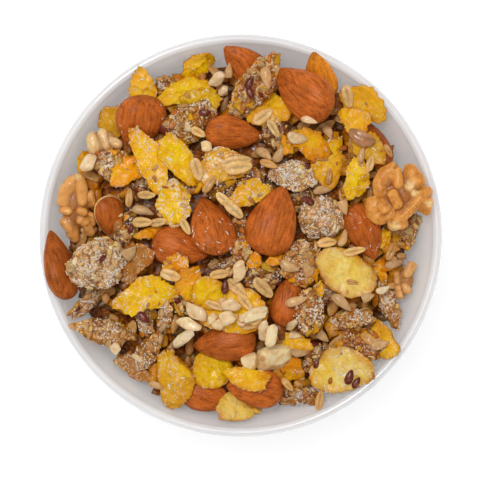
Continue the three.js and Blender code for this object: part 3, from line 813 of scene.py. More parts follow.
def lie_of(name, heading):
    """Where a nut's node lies: its middle, its axes as columns and its sizes."""
    points = node_points(name)
    _, directions = np.linalg.eigh(np.cov(points.T))
    up = directions[:, 0] * np.sign(directions[2, 0])
    turn = math.radians(heading)
    ahead = np.array([math.cos(turn), math.sin(turn), 0])
    ahead[2] = -(ahead @ up) / up[2]
    ahead /= np.linalg.norm(ahead)
    axes = np.stack([ahead, np.cross(up, ahead), up], axis=1)
    local = points @ axes
    low = local.min(axis=0)
    high = local.max(axis=0)
    return axes @ ((low + high) / 2), axes, high - low


def fitted(shape, middle, axes, sizes):
    """A shape scaled to a node's sizes and put where the node lies."""
    low = shape.min(axis=0)
    high = shape.max(axis=0)
    return (shape - (low + high) / 2) * (sizes / (high - low)) @ axes.T + middle


ALMOND_DETAIL = (72, 44)
ALMOND_TAPER = 0.28
ALMOND_TIP = 0.1
ALMOND_POINT = 0.22
ALMOND_LUMP = 0.03
ALMOND_LEAST_GIRTH = 0.5
ALMOND_END_SHADE = 0.25
HALF_ALMOND_BACK = 0.25
RIB_STRETCH = 0.15
RIB_WIDTH = 1.3
# The edge of a half almond's cut, as shares of its half sizes: height, slant and blur
CUT_HEIGHT = 0.32
CUT_SLANT = 0.14
CUT_BLUR = 0.08


def almond_piece(name, number, heading, look, finish):
    """A nut with a blunt end, a pointed end and ribs along its skin."""
    unit, triangles = lengthwise_sphere(*ALMOND_DETAIL)
    middle, axes, sizes = lie_of(name, heading)
    x, y, z = unit.T
    half = name in HALF_ALMONDS
    girth = (1 - ALMOND_TAPER * x) * (1 - ALMOND_POINT * x.clip(0) ** 4)
    reach = 1 + ALMOND_TIP * (x.clip(0) ** 3 - 0.5)
    back = np.where(half & (z < 0), HALF_ALMOND_BACK, 1)
    local = np.stack([x * reach, y * girth, z * girth * back], axis=1) * sizes / 2
    along = local * (RIB_STRETCH, 1, 1) + number
    ribs = look.almond_rib / MM * noise_at(along, RIB_WIDTH, number)
    lumps = ALMOND_LUMP * noise_at(local, sizes[0] / 3, number)
    thickness = np.linalg.norm(local[:, 1:], axis=1).clip(ALMOND_LEAST_GIRTH)
    local[:, 1:] *= (1 + lumps + ribs / thickness)[:, None]
    skin = linear(look.light_almond if name in LIGHT_ALMONDS else look.almond)
    ends = DARK_ALMONDS.get(name, 1) * (1 - ALMOND_END_SHADE * np.abs(x) ** 8)
    tint = skin * ends[:, None]
    if half:
        edge = ((CUT_HEIGHT + CUT_SLANT * y - z) / CUT_BLUR).clip(0, 1)[:, None]
        tint = tint + (linear(look.pale_flesh_and_highlight) - tint) * edge
    points = fitted(local, middle, axes, sizes)
    new_piece(name + "_skin", points, triangles, finish, "almond_skin", [name], tint=tint, along=along)
    return points, triangles


# Folds of the walnut pieces: a path of places from the nut's middle, as seen from above in
# millimetres, and a radius
WALNUT_FOLDS = {
    "walnut_1": [
        ([(-1.8, 10), (-4.2, 6.8), (-5.2, 2.6)], 2.2), ([(0.9, 10.4), (1.9, 7.2), (1.7, 2.6)], 2.3),
        ([(-4.8, -0.4), (-3.2, -0.7)], 1.8), ([(0.9, -0.6), (2.2, -1.2)], 1.9),
        ([(-4.4, -5), (-2.7, -7.3)], 2.0), ([(1.2, -4.2), (3, -5.2)], 1.9),
        ([(-2.2, -9.5), (-0.6, -11)], 2.0), ([(3.9, -7), (5.2, -9)], 2.0),
        ([(5.3, 5.3), (6, 1.4)], 1.3), ([(5.3, -2.8), (6, -5.8)], 1.4),
    ],
    "walnut_2": [
        ([(-2.6, 10.3), (-5.5, 8.6), (-7, 5.5), (-6.6, 2)], 2.3), ([(-1.2, 9.3), (-0.7, 4.7)], 2.0),
        ([(-9.6, -1.4), (-8.9, -5.6), (-6.2, -7.5), (-2.8, -5.6)], 2.2), ([(-5.8, -2.4), (-4.6, -4.2)], 2.3),
        ([(-2.2, 0.9), (-0.7, -2.1)], 2.5), ([(3.7, 9.3), (6.2, 5.5)], 2.5),
        ([(9.1, 1.7), (4.5, -3.3), (-0.5, -7.8)], 2.1), ([(9.8, -1.7), (9.4, -4.8)], 1.8),
        ([(-1.8, -9.6), (1.2, -9.4)], 1.9),
    ],
    "walnut_3": [([(-6.3, -0.5)], 3.0)],
    "walnut_4": [
        ([(-2, 2.3), (-1.6, -0.2)], 1.5), ([(2.6, 5.9), (1.6, 2.3)], 1.5), ([(1, -1.6), (1.2, -3.2)], 1.5),
        ([(-1.4, -2.6), (-1.6, -4.8)], 1.7),
    ],
    "walnut_5": [
        ([(-3.9, 0.2), (-3.6, -1.8)], 2.6), ([(-0.3, 1.6), (0.8, -0.7)], 2.4), ([(2.6, 0), (5, -0.7)], 1.7),
    ],
}
# Broken spots that show the pale flesh, and on walnut_1 a painted highlight: x, y and radius
WALNUT_BREAKS_AND_HIGHLIGHTS = {
    "walnut_1": [(0.6, 10.2, 1.4)],
    "walnut_2": [(4.2, 3.2, 1.4), (6, 1, 1.2), (10.6, -2.4, 1.2), (-0.6, -10, 2)],
}
WALNUT_BLOCKS = ("walnut_3",)
WALNUT_DETAIL = (144, 96)
WALNUT_CORE = 0.74
WALNUT_POWER = 2
BLOCK_CORE = 0.92
BLOCK_POWER = 5
BLOCK_NOTCH = -0.5
BLOCK_PATCH = 3.0
PATCH_CONTRAST = 2.4
PATCH_START = 0.2
NOTCH_WIDTH = 0.12
NOTCH_DEPTH = 0.45
FOLD_STEPS = 5
FOLD_DROP = 0.55
FOLD_JOIN = 14
FOLD_WARP = 0.07
WARP_SIZE = 0.5
WARP_NUMBERS = (0, 40, 80)
CREASE_WIDTH = 0.55
CREASE_DEPTH = 0.08
# Painted shade, over the skin's own browner colour, in the creases, in the hollows between the folds and in a
# block's notch
SEAM_SHADE = 0.8
HOLLOW_SHADE = 0.7
DEEPEST_SHADE = 0.9
HOLLOW_BLUR = 0.8
WALNUT_WRINKLE = 0.04
WRINKLE_SIZE = 0.3
FINE_WRINKLE = 0.5
FINE_WRINKLE_SIZE = 0.13
WALNUT_PALENESS = {"walnut_1": 0.1, "walnut_2": 0.0, "walnut_3": 1.0, "walnut_4": 0.3, "walnut_5": 0.7}
# Share of the pale colour deep in the creases and hollows of pale pieces, partly painted shade
CUT_SHADE = np.array([0.6, 0.42, 0.24])
WALNUT_CUTS = 7
WALNUT_CUT_REACH = 0.86
WALNUT_CUT_TILT = 1.2


def fold_reach(ray, sizes, heading, fold):
    """How far from the nut's middle a fold reaches along a ray."""
    path, radius = fold
    steps = np.linspace(0, len(path) - 1, FOLD_STEPS * len(path))
    xs, ys = (np.interp(steps, range(len(path)), line) for line in zip(*path))
    reach = np.zeros(len(ray))
    for x, y in zip(xs, ys):
        centre = turned(-heading) @ (x, y, 0)
        share = np.linalg.norm(centre / (sizes / 2))
        centre[2] = (sizes[2] / 2 - radius) * (1 - FOLD_DROP * share ** 2)
        towards = ray @ centre
        inside = towards ** 2 - centre @ centre + radius ** 2
        reach = np.maximum(reach, np.where(inside > 0, towards + np.sqrt(inside.clip(0)), 0))
    return reach


def walnut_piece(name, number, heading, look, finish):
    """A kernel of rounded folds with creases between them, or a broken block with flat cuts."""
    unit, triangles = upright_sphere(*WALNUT_DETAIL)
    middle, axes, sizes = lie_of(name, heading)
    half = sizes / 2
    ray = unit * sizes
    ray /= np.linalg.norm(ray, axis=1)[:, None]
    warp = np.stack([noise_at(unit, WARP_SIZE, number + extra) for extra in WARP_NUMBERS], axis=1)
    bent = ray + FOLD_WARP * warp
    bent /= np.linalg.norm(bent, axis=1)[:, None]
    block = name in WALNUT_BLOCKS
    size, power = (BLOCK_CORE, BLOCK_POWER) if block else (WALNUT_CORE, WALNUT_POWER)
    core = size / np.linalg.norm(ray / half, power, axis=1)
    folds = np.array([fold_reach(bent, sizes, heading, fold) for fold in WALNUT_FOLDS[name]])
    reaches = np.concatenate([core[None], folds])
    joined = (reaches ** FOLD_JOIN).sum(axis=0) ** (1 / FOLD_JOIN)
    ordered = np.sort(reaches, axis=0)
    seam = bell(ordered[-1] - ordered[-2], CREASE_WIDTH)
    hollow = (0.5 + (core - folds.max(axis=0)) / HOLLOW_BLUR).clip(0, 1) * (not block)
    wrinkle = np.abs(noise_at(unit, WRINKLE_SIZE, number))
    wrinkle = wrinkle + FINE_WRINKLE * np.abs(noise_at(unit, FINE_WRINKLE_SIZE, number))
    local = ray * (joined * (1 - WALNUT_WRINKLE * wrinkle - CREASE_DEPTH * seam))[:, None]
    # Painted shade in the creases and hollows, over the browner skin there
    crease = np.maximum(SEAM_SHADE * seam, HOLLOW_SHADE * hollow)
    if block:
        notch = bell(2 * local[:, 0] / sizes[0] - BLOCK_NOTCH, NOTCH_WIDTH)
        local[:, 1:] *= (1 - NOTCH_DEPTH * notch)[:, None]
        local = with_flats(local / half, number, WALNUT_CUTS, WALNUT_CUT_REACH, WALNUT_CUT_TILT) * half
        patches = PATCH_CONTRAST * noise_at(local, BLOCK_PATCH, number) - PATCH_START
        # The notch is darker, with brown skin and painted shade, and brown patches lie at random
        crease = np.maximum(DEEPEST_SHADE * notch, patches.clip(0, DEEPEST_SHADE))
    pale = linear(look.pale_walnut)
    paleness = WALNUT_PALENESS[name]
    skin = linear(look.walnut) + paleness * (pale - linear(look.walnut))
    dark = linear(look.walnut_crease_and_shade) + paleness * (CUT_SHADE * pale - linear(look.walnut_crease_and_shade))
    tint = skin + (dark - skin) * crease[:, None]
    seen = fitted(local, middle, axes, sizes)
    # Pale flesh where the nut is broken, and on walnut_1 a painted highlight
    for x, y, radius in WALNUT_BREAKS_AND_HIGHLIGHTS.get(name, []):
        away = np.hypot(seen[:, 0] - middle[0] - x, seen[:, 1] - middle[1] - y)
        tint = tint + (linear(look.pale_flesh_and_highlight) - tint) * np.exp(-(away / radius) ** 4)[:, None]
    new_piece(name + "_kernel", seen, triangles, finish, "walnut_kernel", [name], tint=tint)
    return seen, triangles


# Settling of the loose pieces

CELL = 0.8
GRID_MARGIN = 2
INSIDE_MARGIN = 1
WALL_CLEARANCE = 0.6
FUSE_DEPTH = 1.2
TRIM_LIMIT = 1.5
LEANS = (-36, -24, -12, 0, 12, 24, 36)
FLAKE_LEANS = (-24, -16, -8, 0, 8, 16, 24)
LEVEL_LEANS = (-8, 0, 8)
UNDER_LEANS = (-36, -12, 12, 36)
LEAN_COST = 0.03
CORE_CROWN = 59
CORE_EDGE = 51
CORE_DIP = 2
CORE_DIP_ANGLE = math.radians(-20)
CORE_CLEARANCE = 0.8
GRAIN_SINK = 0.3
BED_DROP = 3.5
UNDER_RISE = 1.6
MOAT = 5
MOAT_DROP = 3
MOAT_POWER = 16
HOLLOW_DROP = 1.8
GAP_DEPTH = 0.4
GAP_REACH = 4


def core_edge(angle):
    """Height at which the heap meets the wall, lowest on one side."""
    return CORE_EDGE - CORE_DIP * np.cos(angle - CORE_DIP_ANGLE)


def core_top(share, angle):
    """Height of the dome on which the pieces lie, at a share of the way to the wall."""
    return CORE_CROWN + (core_edge(angle) - CORE_CROWN) * share ** 2


def bed_top(share, angle):
    """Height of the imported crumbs, lower than the dome and lowest at the wall."""
    return core_top(share, angle) - BED_DROP - MOAT_DROP * share ** MOAT_POWER


class Ground:
    """Height fields of the bowl, the nuts and the loose bed on a square grid of cells."""

    def __init__(self, form):
        self.form = form
        self.count = math.ceil(2 * (form.rim_radius + GRID_MARGIN) / CELL)
        line = (np.arange(self.count) + 0.5) * CELL - self.count * CELL / 2
        x, y = np.meshgrid(line, line)
        radius = np.hypot(x, y).ravel()
        angle = np.arctan2(y, x).ravel()
        reach = form.inner_radius(core_edge(angle))
        self.inside = radius < reach - INSIDE_MARGIN
        self.core = np.where(radius < reach, core_top(radius / reach, angle), 0)
        self.bed = self.core.copy()
        self.under = np.where(radius < reach, bed_top(radius / reach, angle), 0)
        self.under_limit = self.core + np.where(radius < reach - MOAT, UNDER_RISE, -MOAT_DROP)
        self.places = np.stack([x.ravel(), y.ravel()], axis=1)
        for *middle, size in HOLLOWS:
            sunk = np.linalg.norm(self.places - middle, axis=1) < size
            self.under_limit[sunk] = self.core[sunk] - HOLLOW_DROP
        self.nuts = np.zeros(self.count ** 2)
        self.bowl = form.top(radius + WALL_CLEARANCE)

    def cells(self, points):
        """Numbers of the cells in which points lie."""
        grid = np.floor(points[:, :2] / CELL + self.count / 2).astype(int).clip(0, self.count - 1)
        return grid[:, 1] * self.count + grid[:, 0]

    def top(self):
        return np.maximum(np.maximum(self.bed, self.nuts), self.bowl)

    def lift(self, field, points):
        """Raises one of the height fields to points that now lie there."""
        np.maximum.at(field, self.cells(points), points[:, 2])

    def near_gaps(self):
        """The cells in which no piece lies, and those close to them."""
        gaps = (self.inside & (self.top() < self.core + GAP_DEPTH)).reshape(self.count, self.count)
        near = gaps.copy()
        for row in range(-GAP_REACH, GAP_REACH + 1):
            for column in range(-GAP_REACH, GAP_REACH + 1):
                near |= np.roll(gaps, (row, column), axis=(0, 1))
        return np.flatnonzero(near.ravel() & self.inside)

    def settle_under(self, shape, x, y, heading):
        """The shape at rest on what already lies under the pieces, in the lowest of a grid of leans."""
        best_points = None
        for along in UNDER_LEANS:
            for across in UNDER_LEANS:
                points = shape @ turned(heading, along, across).T + (x, y, 0)
                cells = self.cells(points)
                floor = np.maximum(self.under[cells], self.bowl[cells])
                points = points + (0, 0, (floor - points[:, 2]).max() - GRAIN_SINK)
                if best_points is None or points[:, 2].max() < best_points[:, 2].max():
                    best_points = points
        return self.form.kept_inside(best_points, WALL_CLEARANCE / 2)

    def settle(self, shape, x, y, heading, sink, trim=TRIM_LIMIT, leans=LEANS):
        """The shape at rest in the lowest of a grid of leans, as after a shake."""
        best_cost = math.inf
        best_points = None
        for along in leans:
            for across in leans:
                points = shape @ turned(heading, along, across).T + (x, y, 0)
                cells = self.cells(points)
                fused = (self.bed[cells] - points[:, 2]).max() - sink
                held = np.maximum(self.nuts[cells], self.bowl[cells]) - points[:, 2]
                rest = max(fused, held.max())
                if rest - fused < trim:
                    rest = fused
                cost = rest + LEAN_COST * math.hypot(along, across)
                if cost < best_cost:
                    best_cost = cost
                    best_points = points + (0, 0, rest)
        return self.form.kept_inside(best_points, WALL_CLEARANCE / 2)


FLAKE_DETAIL = (88, 26)
FLAKE_RAGGED = 0.08
FLAKE_CHIPPED = 0.14
CHIPPED_SIZE = 0.5
FLAKE_CRIMPED = 0.11
CRIMPED_SIZE = 0.13
FLAKE_CURL = 0.09
FLAKE_FOLD = 0.12
FOLD_START = 0.4
FOLD_POWER = 1.5
FLAKE_WAVE = 0.5
FLAKE_BLISTER = 0.75
BLISTER_SIZE = 3.4
FINE_BLISTER = 0.4
FINE_BLISTER_SIZE = 1.6
FLAKE_RIDGE = 0.2
RIDGE_MEAN = 0.4
RIDGE_SPREAD = 0.6
RIDGE_POWER = 1.5
FLAKE_EDGE_POWER = 6
WHOLE_RAGGED = 0.5
FLAKE_BREAKS = 5
FLAKE_BREAK_REACH = 0.82
# Depth in millimetres over which painted shade grows in a flake's dips
DIP_SHADE_DEPTH = 1.6
# Colours of a flake: how strong the fresher patches are, how toasted edges and patches are, and how
# much painted shade, in the toasted colour, lies in the dips
FRESHNESS = 1.4
FRESH_SIZE = 7
TOAST_SIZE = 4.5
EDGE_TOAST = 0.65
PATCH_TOAST = 0.2
DIP_SHADE = 0.4
FLAKE_TINT_LIMIT = 0.8
CLUSTER_DETAIL = (40, 26)
CLUSTER_HEIGHT_SHARE = 0.55
CLUSTER_HEIGHT_LIMIT = 6
CLUSTER_BUMP = 0.13
CLUSTER_LUMP = 0.7
LUMP_SIZE = 2.4
FINE_LUMP = 0.5
FINE_LUMP_SIZE = 1.2
CLUSTER_PATCH = 4.0
CLUSTER_RIM = 0.4
SLAB_CUTS = 7
SLAB_REACH = 0.8
SLAB_TILT = 0.3
SLAB_TOP = 0.74


def flake_shape(row, number, thickness):
    """A thin flake with a ragged edge and blisters, curled like a saddle and bent up on one side."""
    unit, triangles = upright_sphere(*FLAKE_DETAIL)
    x, y, z = with_flats(unit, number, 0 if row["whole"] else FLAKE_BREAKS, FLAKE_BREAK_REACH, 0).T
    angle = np.arctan2(y, x)
    reach = np.hypot(unit[:, 0], unit[:, 1])
    rim = np.stack([np.cos(angle), np.sin(angle), 0 * angle], axis=1)
    waves = np.sin(2 * angle + phase(number, 1)) + np.sin(3 * angle + phase(number, 2))
    ragged = FLAKE_RAGGED * waves + FLAKE_CHIPPED * noise_at(rim, CHIPPED_SIZE, number)
    ragged += FLAKE_CRIMPED * noise_at(rim, CRIMPED_SIZE, number)
    ragged = 1 + ragged * (WHOLE_RAGGED if row["whole"] else 1)
    curl = row["long"] * FLAKE_CURL * reach ** 2 * np.cos(2 * angle + phase(number, 3))
    wave = FLAKE_WAVE * reach * np.sin(3 * angle + phase(number, 4))
    past_fold = (reach * np.cos(angle - phase(number, 5)) - FOLD_START).clip(0)
    fold = row["long"] * FLAKE_FOLD * past_fold ** FOLD_POWER
    flat = np.stack([x * ragged * row["long"] / 2, y * ragged * row["wide"] / 2, 0 * z], axis=1)
    blister = noise_at(flat, BLISTER_SIZE, number) + FINE_BLISTER * noise_at(flat, FINE_BLISTER_SIZE, number)
    side = np.sign(z) * np.sqrt(1 - reach.clip(0, 1) ** FLAKE_EDGE_POWER) * thickness / 2
    ridge_share = RIDGE_MEAN + RIDGE_SPREAD * math.sin(phase(number, 6))
    ridge = row["wide"] * FLAKE_RIDGE * ridge_share * (1 - np.abs(y) ** RIDGE_POWER)
    flat[:, 2] = side + FLAKE_BLISTER * blister + row["bend"] * (curl + wave + fold + ridge)
    return flat, triangles, reach


def flake_tint(points, reach, number, body, fresh, toasted):
    """Fresher in some patches, toasted in others and towards the edge, with painted shade of the toasted
    colour in the dips.
    """
    fresher = (FRESHNESS * noise_at(points, FRESH_SIZE, number + 5)).clip(0, FLAKE_TINT_LIMIT)
    body = body + (fresh - body) * fresher[:, None]
    patch = noise_at(points, TOAST_SIZE, number + 9)
    # Painted shade: the lower a spot lies on the flake, the more of the toasted colour it takes
    dip_shade = ((points[:, 2].mean() - points[:, 2]) / DIP_SHADE_DEPTH).clip(0, 1)
    toast_and_shade = (EDGE_TOAST * reach ** 5 + PATCH_TOAST * patch + DIP_SHADE * dip_shade).clip(0, FLAKE_TINT_LIMIT)
    return body + (toasted - body) * toast_and_shade[:, None]


def cluster_shape(row, number):
    """A lump of seeds and crumbs baked together, or a slab with broken sides and a flat top."""
    unit, triangles = lengthwise_sphere(*CLUSTER_DETAIL)
    if row["slab"]:
        unit = with_flats(unit, number, SLAB_CUTS, SLAB_REACH, SLAB_TILT)
        unit[:, 2] = unit[:, 2].clip(-SLAB_TOP, SLAB_TOP) / SLAB_TOP
    x, y, z = unit.T
    height = min(row["wide"] * CLUSTER_HEIGHT_SHARE, CLUSTER_HEIGHT_LIMIT)
    bump = 1 + CLUSTER_BUMP * np.sin(4 * x + phase(number, 1)) * np.cos(5 * y)
    bump += CLUSTER_BUMP * np.sin(5 * z + 3 * x + phase(number, 2))
    local = unit * bump[:, None] * (row["long"] / 2, row["wide"] / 2, height / 2)
    lumps = noise_at(local, LUMP_SIZE, number) + FINE_LUMP * noise_at(local, FINE_LUMP_SIZE, number)
    rim = bell(z, CLUSTER_RIM)
    return local + unit * (CLUSTER_LUMP * lumps)[:, None], triangles, rim


# Grains and other small shapes, each along X with its broad side up, coarse or of finer detail. Each
# gives its points, triangles and shade. Sizes are half the length, width and height in millimetres,
# spreads are how much wider the widest of a kind are, creases are depths, and shades are shares by
# which a spot is darker. The darkening in a crease is painted shade.

OAT_SIZE = (3.8, 1.35, 0.7)
OAT_SPREAD = 0.7
OAT_BEND = 0.4
OAT_CREASE = 0.35
OAT_CREASE_SHADE = 0.45
OAT_EDGE_SHADE = 0.2
GRAIN_SIZE = (3.4, 1.4, 1.2)
GRAIN_CREASE = 0.45
GRAIN_CREASE_SHADE = 0.4
SUNFLOWER_SIZE = (3.4, 1.2, 0.95)
SUNFLOWER_SPREAD = 0.5
SUNFLOWER_BEND = 0.5
SUNFLOWER_END_SHADE = 0.25
BROKEN_SHARE = 0.7
CHIP_SIZE = (4.4, 3.0, 2.4)
SPLINTER_SIZE = (4.2, 2.6, 1.8)
CHUNK_SIZE = (3.0, 1.7, 1.0)
SHARD_SIZE = (3.2, 2.3, 0.55)
SHARD_RAGGED = 0.3
SHARD_RAGGED_SIZE = 0.7
SHARD_CURL = 0.9
SHARD_EDGE_SHADE = 0.3
FLAX_SIZE = (2.3, 1.2, 0.6)
FLAX_TAPER = 0.28
FLAX_END_SHADE = 0.2
BEAN_SIZE = (4.6, 2.5, 1.9)
BEAN_BEND = 0.6
BEAN_CREASE = 0.5
BEAN_CREASE_SIDE = 0.2
BEAN_CREASE_SHADE = 0.35
BEAN_END_SHADE = 0.25
BEAN_WRINKLE = 0.1
BEAN_WRINKLE_SIZE = 0.35
BRAN_SIZE = (1.3, 0.75, 0.32)
SHRED_SIZE = (0.85, 0.22, 0.14)
SHRED_WAVE = 0.12
SUGAR_RADIUS = 0.34
BIT_RAGGED = 0.3


def tapered(unit, number, taper, rough, feature, point=0):
    """Girth along a grain, less towards its front, which may be pointed, and rough at a size."""
    x = unit[:, 0]
    return (1 - taper * x) * (1 - point * x.clip(0) ** 3) * (1 + rough * noise_at(unit, feature, number))


def broken_bit(number, detail, size, cuts, depth, tilt, rough, feature, end_shade=0):
    """A bit with flat cuts all round, rough at a size, and darker by a share at its ends."""
    unit, triangles = even_sphere(1 + detail)
    roughness = 1 + rough * noise_at(unit, feature, number)[:, None]
    points = with_flats(unit, number, cuts, depth, tilt) * roughness
    return points * size, triangles, 1 - end_shade * np.abs(unit[:, 0]) ** 4


def ragged_bit(unit, triangles, number, size, feature):
    """A tiny bit of one shade, ragged at a size."""
    ragged = 1 + BIT_RAGGED * noise_at(unit, feature, number)
    return unit * ragged[:, None] * size, triangles, np.ones(len(unit))


def oat_shape(number, detail):
    """A rolled oat: thin, cupped and creased along the middle."""
    unit, triangles = lengthwise_sphere(10 * detail, 6 * detail)
    x, y, z = unit.T
    long, wide, high = OAT_SIZE
    width = wide + OAT_SPREAD * (phase(number, 2) / TAU)
    girth = tapered(unit, number, taper=0.15, rough=0.2, feature=0.8)
    crease = bell(y, width=0.2) * (1 - x ** 2)
    bend = OAT_BEND * y ** 2 + OAT_BEND * np.sin(2 * x + phase(number, 1))
    height = high * z + bend - OAT_CREASE * crease * np.sign(z)
    points = np.stack([long * x, width * y * girth, height], axis=1)
    # Painted shade in the crease; the edges are darker too
    return points, triangles, 1 - OAT_CREASE_SHADE * crease - OAT_EDGE_SHADE * np.abs(y) ** 6


def grain_shape(number, detail):
    """A whole grain with a deep crease."""
    unit, triangles = lengthwise_sphere(10 * detail, 6 * detail)
    x, y, z = unit.T
    long, wide, high = GRAIN_SIZE
    girth = tapered(unit, number, taper=0.18, rough=0.12, feature=0.9)
    crease = bell(y, width=0.24) * (z > 0) * (1 - x ** 4)
    points = np.stack([long * x, wide * y * girth, high * z * girth - GRAIN_CREASE * crease], axis=1)
    # Painted shade in the crease
    return points, triangles, 1 - GRAIN_CREASE_SHADE * crease


def sunflower_shape(number, detail):
    """A drop-shaped kernel, a little bent. Every third one is broken off at its blunt end."""
    unit, triangles = lengthwise_sphere(10 * detail, 6 * detail)
    x, y, z = unit.T
    long, wide, high = SUNFLOWER_SIZE
    plump = wide + SUNFLOWER_SPREAD * (phase(number, 2) / TAU)
    girth = tapered(unit, number, taper=0.34, rough=0.16, feature=0.7, point=0.3)
    broken = np.maximum(x, -1 + BROKEN_SHARE * (number % 3 == 0))
    bend = SUNFLOWER_BEND * math.sin(phase(number, 3)) * x ** 2
    points = np.stack([long * broken, plump * y * girth + bend, high * z * girth], axis=1)
    return points, triangles, 1 - SUNFLOWER_END_SHADE * np.abs(x) ** 4


def chip_shape(number, detail):
    """A chopped piece of nut."""
    return broken_bit(number, detail, CHIP_SIZE, cuts=8, depth=0.56, tilt=1.0, rough=0.06, feature=0.5)


def splinter_shape(number, detail):
    """A pale kernel broken along its length."""
    return broken_bit(
        number, detail, SPLINTER_SIZE, cuts=9, depth=0.52, tilt=1.1, rough=0.1, feature=0.6, end_shade=0.15
    )


def chunk_shape(number, detail):
    """A small broken bit of grain or cluster."""
    return broken_bit(number, detail, CHUNK_SIZE, cuts=8, depth=0.6, tilt=0.4, rough=0.2, feature=0.7)


def shard_shape(number, detail):
    """A small broken bit of corn flake, thin and curled."""
    unit, triangles = upright_sphere(10 * detail, 6 * detail)
    x, y, z = unit.T
    long, wide, high = SHARD_SIZE
    angle = np.arctan2(y, x)
    reach = np.hypot(x, y)
    ragged = 1 + SHARD_RAGGED * np.sin(3 * angle + phase(number, 1))
    ragged = ragged + SHARD_RAGGED * noise_at(unit, SHARD_RAGGED_SIZE, number)
    curl = SHARD_CURL * reach ** 2 * np.cos(2 * angle + phase(number, 2))
    points = np.stack([long * x * ragged, wide * y * ragged, high * z + curl], axis=1)
    return points, triangles, 1 - SHARD_EDGE_SHADE * reach ** 4


def flax_shape(number, detail):
    """A flat glossy seed with one pointed end, the same for each number."""
    unit, triangles = lengthwise_sphere(8 * detail, 6 * detail)
    x, y, z = unit.T
    long, wide, high = FLAX_SIZE
    girth = 1 - FLAX_TAPER * x
    points = np.stack([long * x, wide * y * girth, high * z], axis=1)
    return points, triangles, 1 - FLAX_END_SHADE * np.abs(x)


def bean_shape(number, detail):
    """A plump wrinkled bean, a little bent."""
    unit, triangles = lengthwise_sphere(12 * detail, 8 * detail)
    x, y, z = unit.T
    long, wide, high = BEAN_SIZE
    wrinkle = 1 + BEAN_WRINKLE * noise_at(unit, BEAN_WRINKLE_SIZE, number)
    crease = bell(y - BEAN_CREASE_SIDE, width=0.16) * z.clip(0)
    points = np.stack([long * x, wide * y + BEAN_BEND * x ** 2, high * z - BEAN_CREASE * crease], axis=1)
    # Painted shade in the crease; the ends are darker too
    shade = 1 - BEAN_END_SHADE * np.abs(x) ** 3 - BEAN_CREASE_SHADE * crease
    return points * wrinkle[:, None], triangles, shade


def bran_shape(number, detail):
    """A flat bit of bran or broken oat."""
    return ragged_bit(*lengthwise_sphere(6 * detail, 4 * detail), number, BRAN_SIZE, feature=0.7)


def shred_shape(number, detail):
    """A thin wavy shred of coconut."""
    unit, triangles = lengthwise_sphere(4 * detail, 4 * detail)
    points = unit * SHRED_SIZE
    points[:, 1] += SHRED_WAVE * np.sin(2 * points[:, 0] + number)
    return points, triangles, np.ones(len(unit))


def sugar_shape(number, detail):
    """A sugar crumb."""
    return ragged_bit(*even_sphere(detail), number, SUGAR_RADIUS, feature=0.5)


VARIANTS = 12
HAND_DETAIL = 2


@lru_cache(maxsize=None)
def variants(shape, detail=1):
    """A few unlike shapes of one kind."""
    return [shape(number, detail) for number in range(1, VARIANTS + 1)]


SPIN_RISE = 0.1


def facing(normals, spins):
    """Rotations that lay a shape's broad side along surfaces, spun about their normals."""
    ahead = np.stack([np.cos(spins), np.sin(spins), 0 * spins + SPIN_RISE], axis=1)
    aside = np.cross(normals, ahead)
    aside /= np.linalg.norm(aside, axis=1)[:, None]
    return np.stack([np.cross(aside, normals), aside, normals], axis=2)


# How unevenly bits are strewn: size of the clumps, their mean, contrast and least weight, how many
# patterns of clumps there are, and how far up a surface has to face
CLUMP_SIZE = 3.0
CLUMP_MEAN = 0.3
CLUMP_CONTRAST = 2
CLUMP_LEAST = 0.05
CLUMP_PATTERNS = 100
UPWARD = 0.1


def scattered(points, triangles, count, draw):
    """Places in clumps on a shape's upward side, with the directions it faces there."""
    a, b, c = (points[triangles[:, corner]] for corner in range(3))
    faces = np.cross(b - a, c - a)
    areas = np.linalg.norm(faces, axis=1)
    normals = faces / areas.clip(LEAST_AREA)[:, None]
    pattern = noise_at((a + b + c) / 3, CLUMP_SIZE, draw.integers(CLUMP_PATTERNS))
    clumps = (CLUMP_MEAN + CLUMP_CONTRAST * pattern).clip(CLUMP_LEAST)
    weights = np.where(normals[:, 2] > UPWARD, areas * clumps, 0)
    picked = draw.choice(len(areas), size=count, p=weights / weights.sum())
    u, v = draw.random((2, count))
    over = u + v > 1
    u = np.where(over, 1 - u, u)[:, None]
    v = np.where(over, 1 - v, v)[:, None]
    places = a[picked] + u * (b - a)[picked] + v * (c - a)[picked]
    return places, normals[picked]


# Colours of the kernels, each as likely as it is often listed
KERNEL_COLOURS = ("sunflower", "sunflower", "sunflower", "oat", "nut_chip")
SHARD_COLOURS = ("golden", "orange", "orange", "dull", "glazed")
# What lies under the pieces and shows in the gaps between them: piece, shape, colours, size and share
UNDER_KINDS = (
    ("oat_flakes", oat_shape, ("oat",), 0.9, 0.14),
    ("whole_grains", grain_shape, ("grain",), 0.9, 0.12),
    ("sunflower_kernels", sunflower_shape, KERNEL_COLOURS, 0.9, 0.14),
    ("flake_shards", shard_shape, SHARD_COLOURS, 1.2, 0.42),
    ("small_chunks", chunk_shape, ("bran", "sunflower", "oat", "grain", "crumb"), 0.9, 0.18),
)
UNDER_PICKS = 6
# Painted shade on the grains under the pieces: darker and warmer, and darker still the deeper they lie, over
# so many millimetres, down to a darkest share
UNDER_PAINTED_SHADE = np.array([0.76, 0.62, 0.45])
UNDER_SHADE_DEPTH = 3
UNDER_DARKEST_SHADE = 0.3
UNDER_LEAST_SIZE = 0.8
UNDER_SIZE_SPREAD = 0.4
# Colours of the bits baked into clusters and of those on whitish clusters, each as likely as it is
# often listed
BIT_COLOURS = ("bran", "bran", "bran", "bran", "sunflower", "sunflower", "oat", "glazed", "crumb", "toasted")
WHITISH_COLOURS = ("bran", "oat", "oat", "nut_chip", "sunflower")
